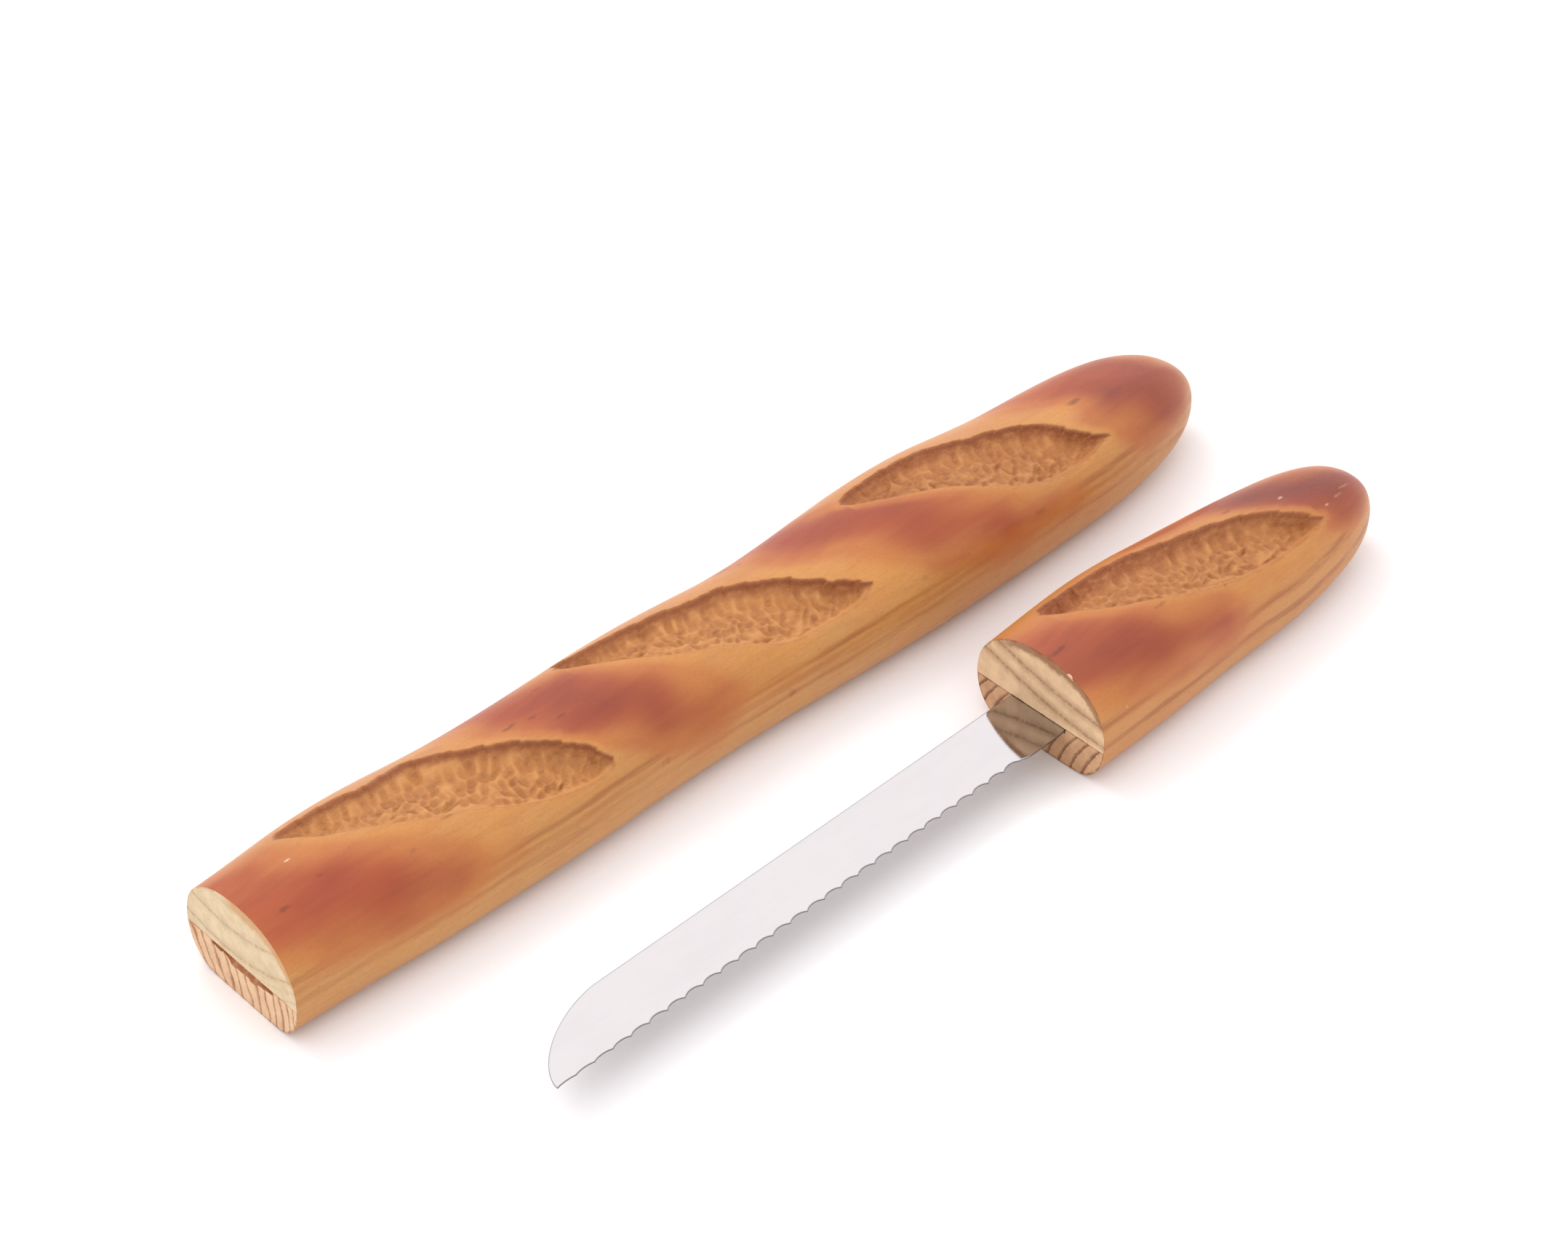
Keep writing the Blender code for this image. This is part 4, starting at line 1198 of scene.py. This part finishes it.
def build_sheath():
    place = place_of("sheath_mouth_face", 0.0)
    length = (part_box("sheath_upper_board")[1].x - place.translation.x) / MM
    loaf = Loaf(length, place, **SHEATH)
    crust = crust_material("sheath_crust", SHEATH_RINGS, streak_length=60, warmth=0.04)
    inner = inner_material("sheath_inner", colour(236, 186, 138), colour(196, 108, 62))
    sawn = sawn_material("sheath_sawn_upper", colour(246, 222, 182), colour(168, 130, 98),
                         colour(218, 160, 104), bleed_reach=4.2, bleed_side=8.0, rings=SHEATH_RINGS)
    rings = sawn_material("sheath_sawn_lower", colour(234, 198, 160, STRAW_LEVEL), colour(172, 104, 62),
                          colour(180, 116, 70), bleed_reach=1.2, bleed_side=8.0)
    upper = upper_board("sheath_upper", loaf, [crust, sawn, inner])
    keep(upper, "sheath", "sheath_pine", "sheath_upper_board")
    channel = Hollow(edge=15.4, walls=(-SLOT_HALF_WIDTH, SLOT_HALF_WIDTH), widest=25.8, depth=channel_depth)
    lower = lower_board("sheath_lower", loaf, [crust, rings, inner], channel)
    keep(lower, "sheath", "sheath_pine", "sheath_lower_board")


def build_knife():
    axis = frame["joints"][0]["axis"]
    place = place_of("handle_sawn_face", math.atan2(axis[1], axis[0]))
    length = (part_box("handle_upper_board")[1].x - place.translation.x) / MM / axis[0]
    loaf = Loaf(length, place, **HANDLE)
    crust = crust_material("handle_crust", HANDLE_RINGS, streak_length=66, warmth=0.32)
    inner = inner_material("handle_inner", colour(205, 165, 115), colour(120, 84, 56))
    sawn = sawn_material("handle_sawn_upper", colour(234, 200, 160, 1.0), colour(160, 110, 74),
                         colour(152, 90, 52), bleed_reach=3.8, bleed_side=19.0, rings=HANDLE_RINGS,
                         band=0.42)
    rings = sawn_material("handle_sawn_lower", colour(210, 166, 126, 1.0), colour(128, 74, 46),
                          colour(116, 70, 42), bleed_reach=1.4, bleed_side=8.0, pitch=4.7, mirror=True)
    upper = upper_board("handle_upper", loaf, [crust, sawn, inner])
    keep(upper, "knife", "handle_pine", "handle_upper_board")
    half = TANG_WIDTH / 2 + MORTISE_ROOM
    walls = (EDGE_Y - MORTISE_ROOM, SPINE_Y + MORTISE_ROOM, TANG_CENTRE_Y - half, TANG_CENTRE_Y + half)
    mortise = Hollow(edge=13.4, walls=walls, widest=25.0, depth=mortise_depth)
    lower = lower_board("handle_lower", loaf, [crust, rings, inner], mortise)
    keep(lower, "knife", "handle_pine", "handle_lower_board")
    keep(build_splinter(loaf, sawn), "knife", "handle_pine")
    keep(build_blade(place, blade_material()), "knife", "blade_steel", "blade")
    wire = pin_material()
    for node in ("tang_pin_front", "tang_pin_rear"):
        mesh = frame["nodes"][node].data
        for slot in range(len(mesh.materials)):
            mesh.materials[slot] = wire


add_camera()
add_light()
add_card()
add_stage()
build_sheath()
build_knife()
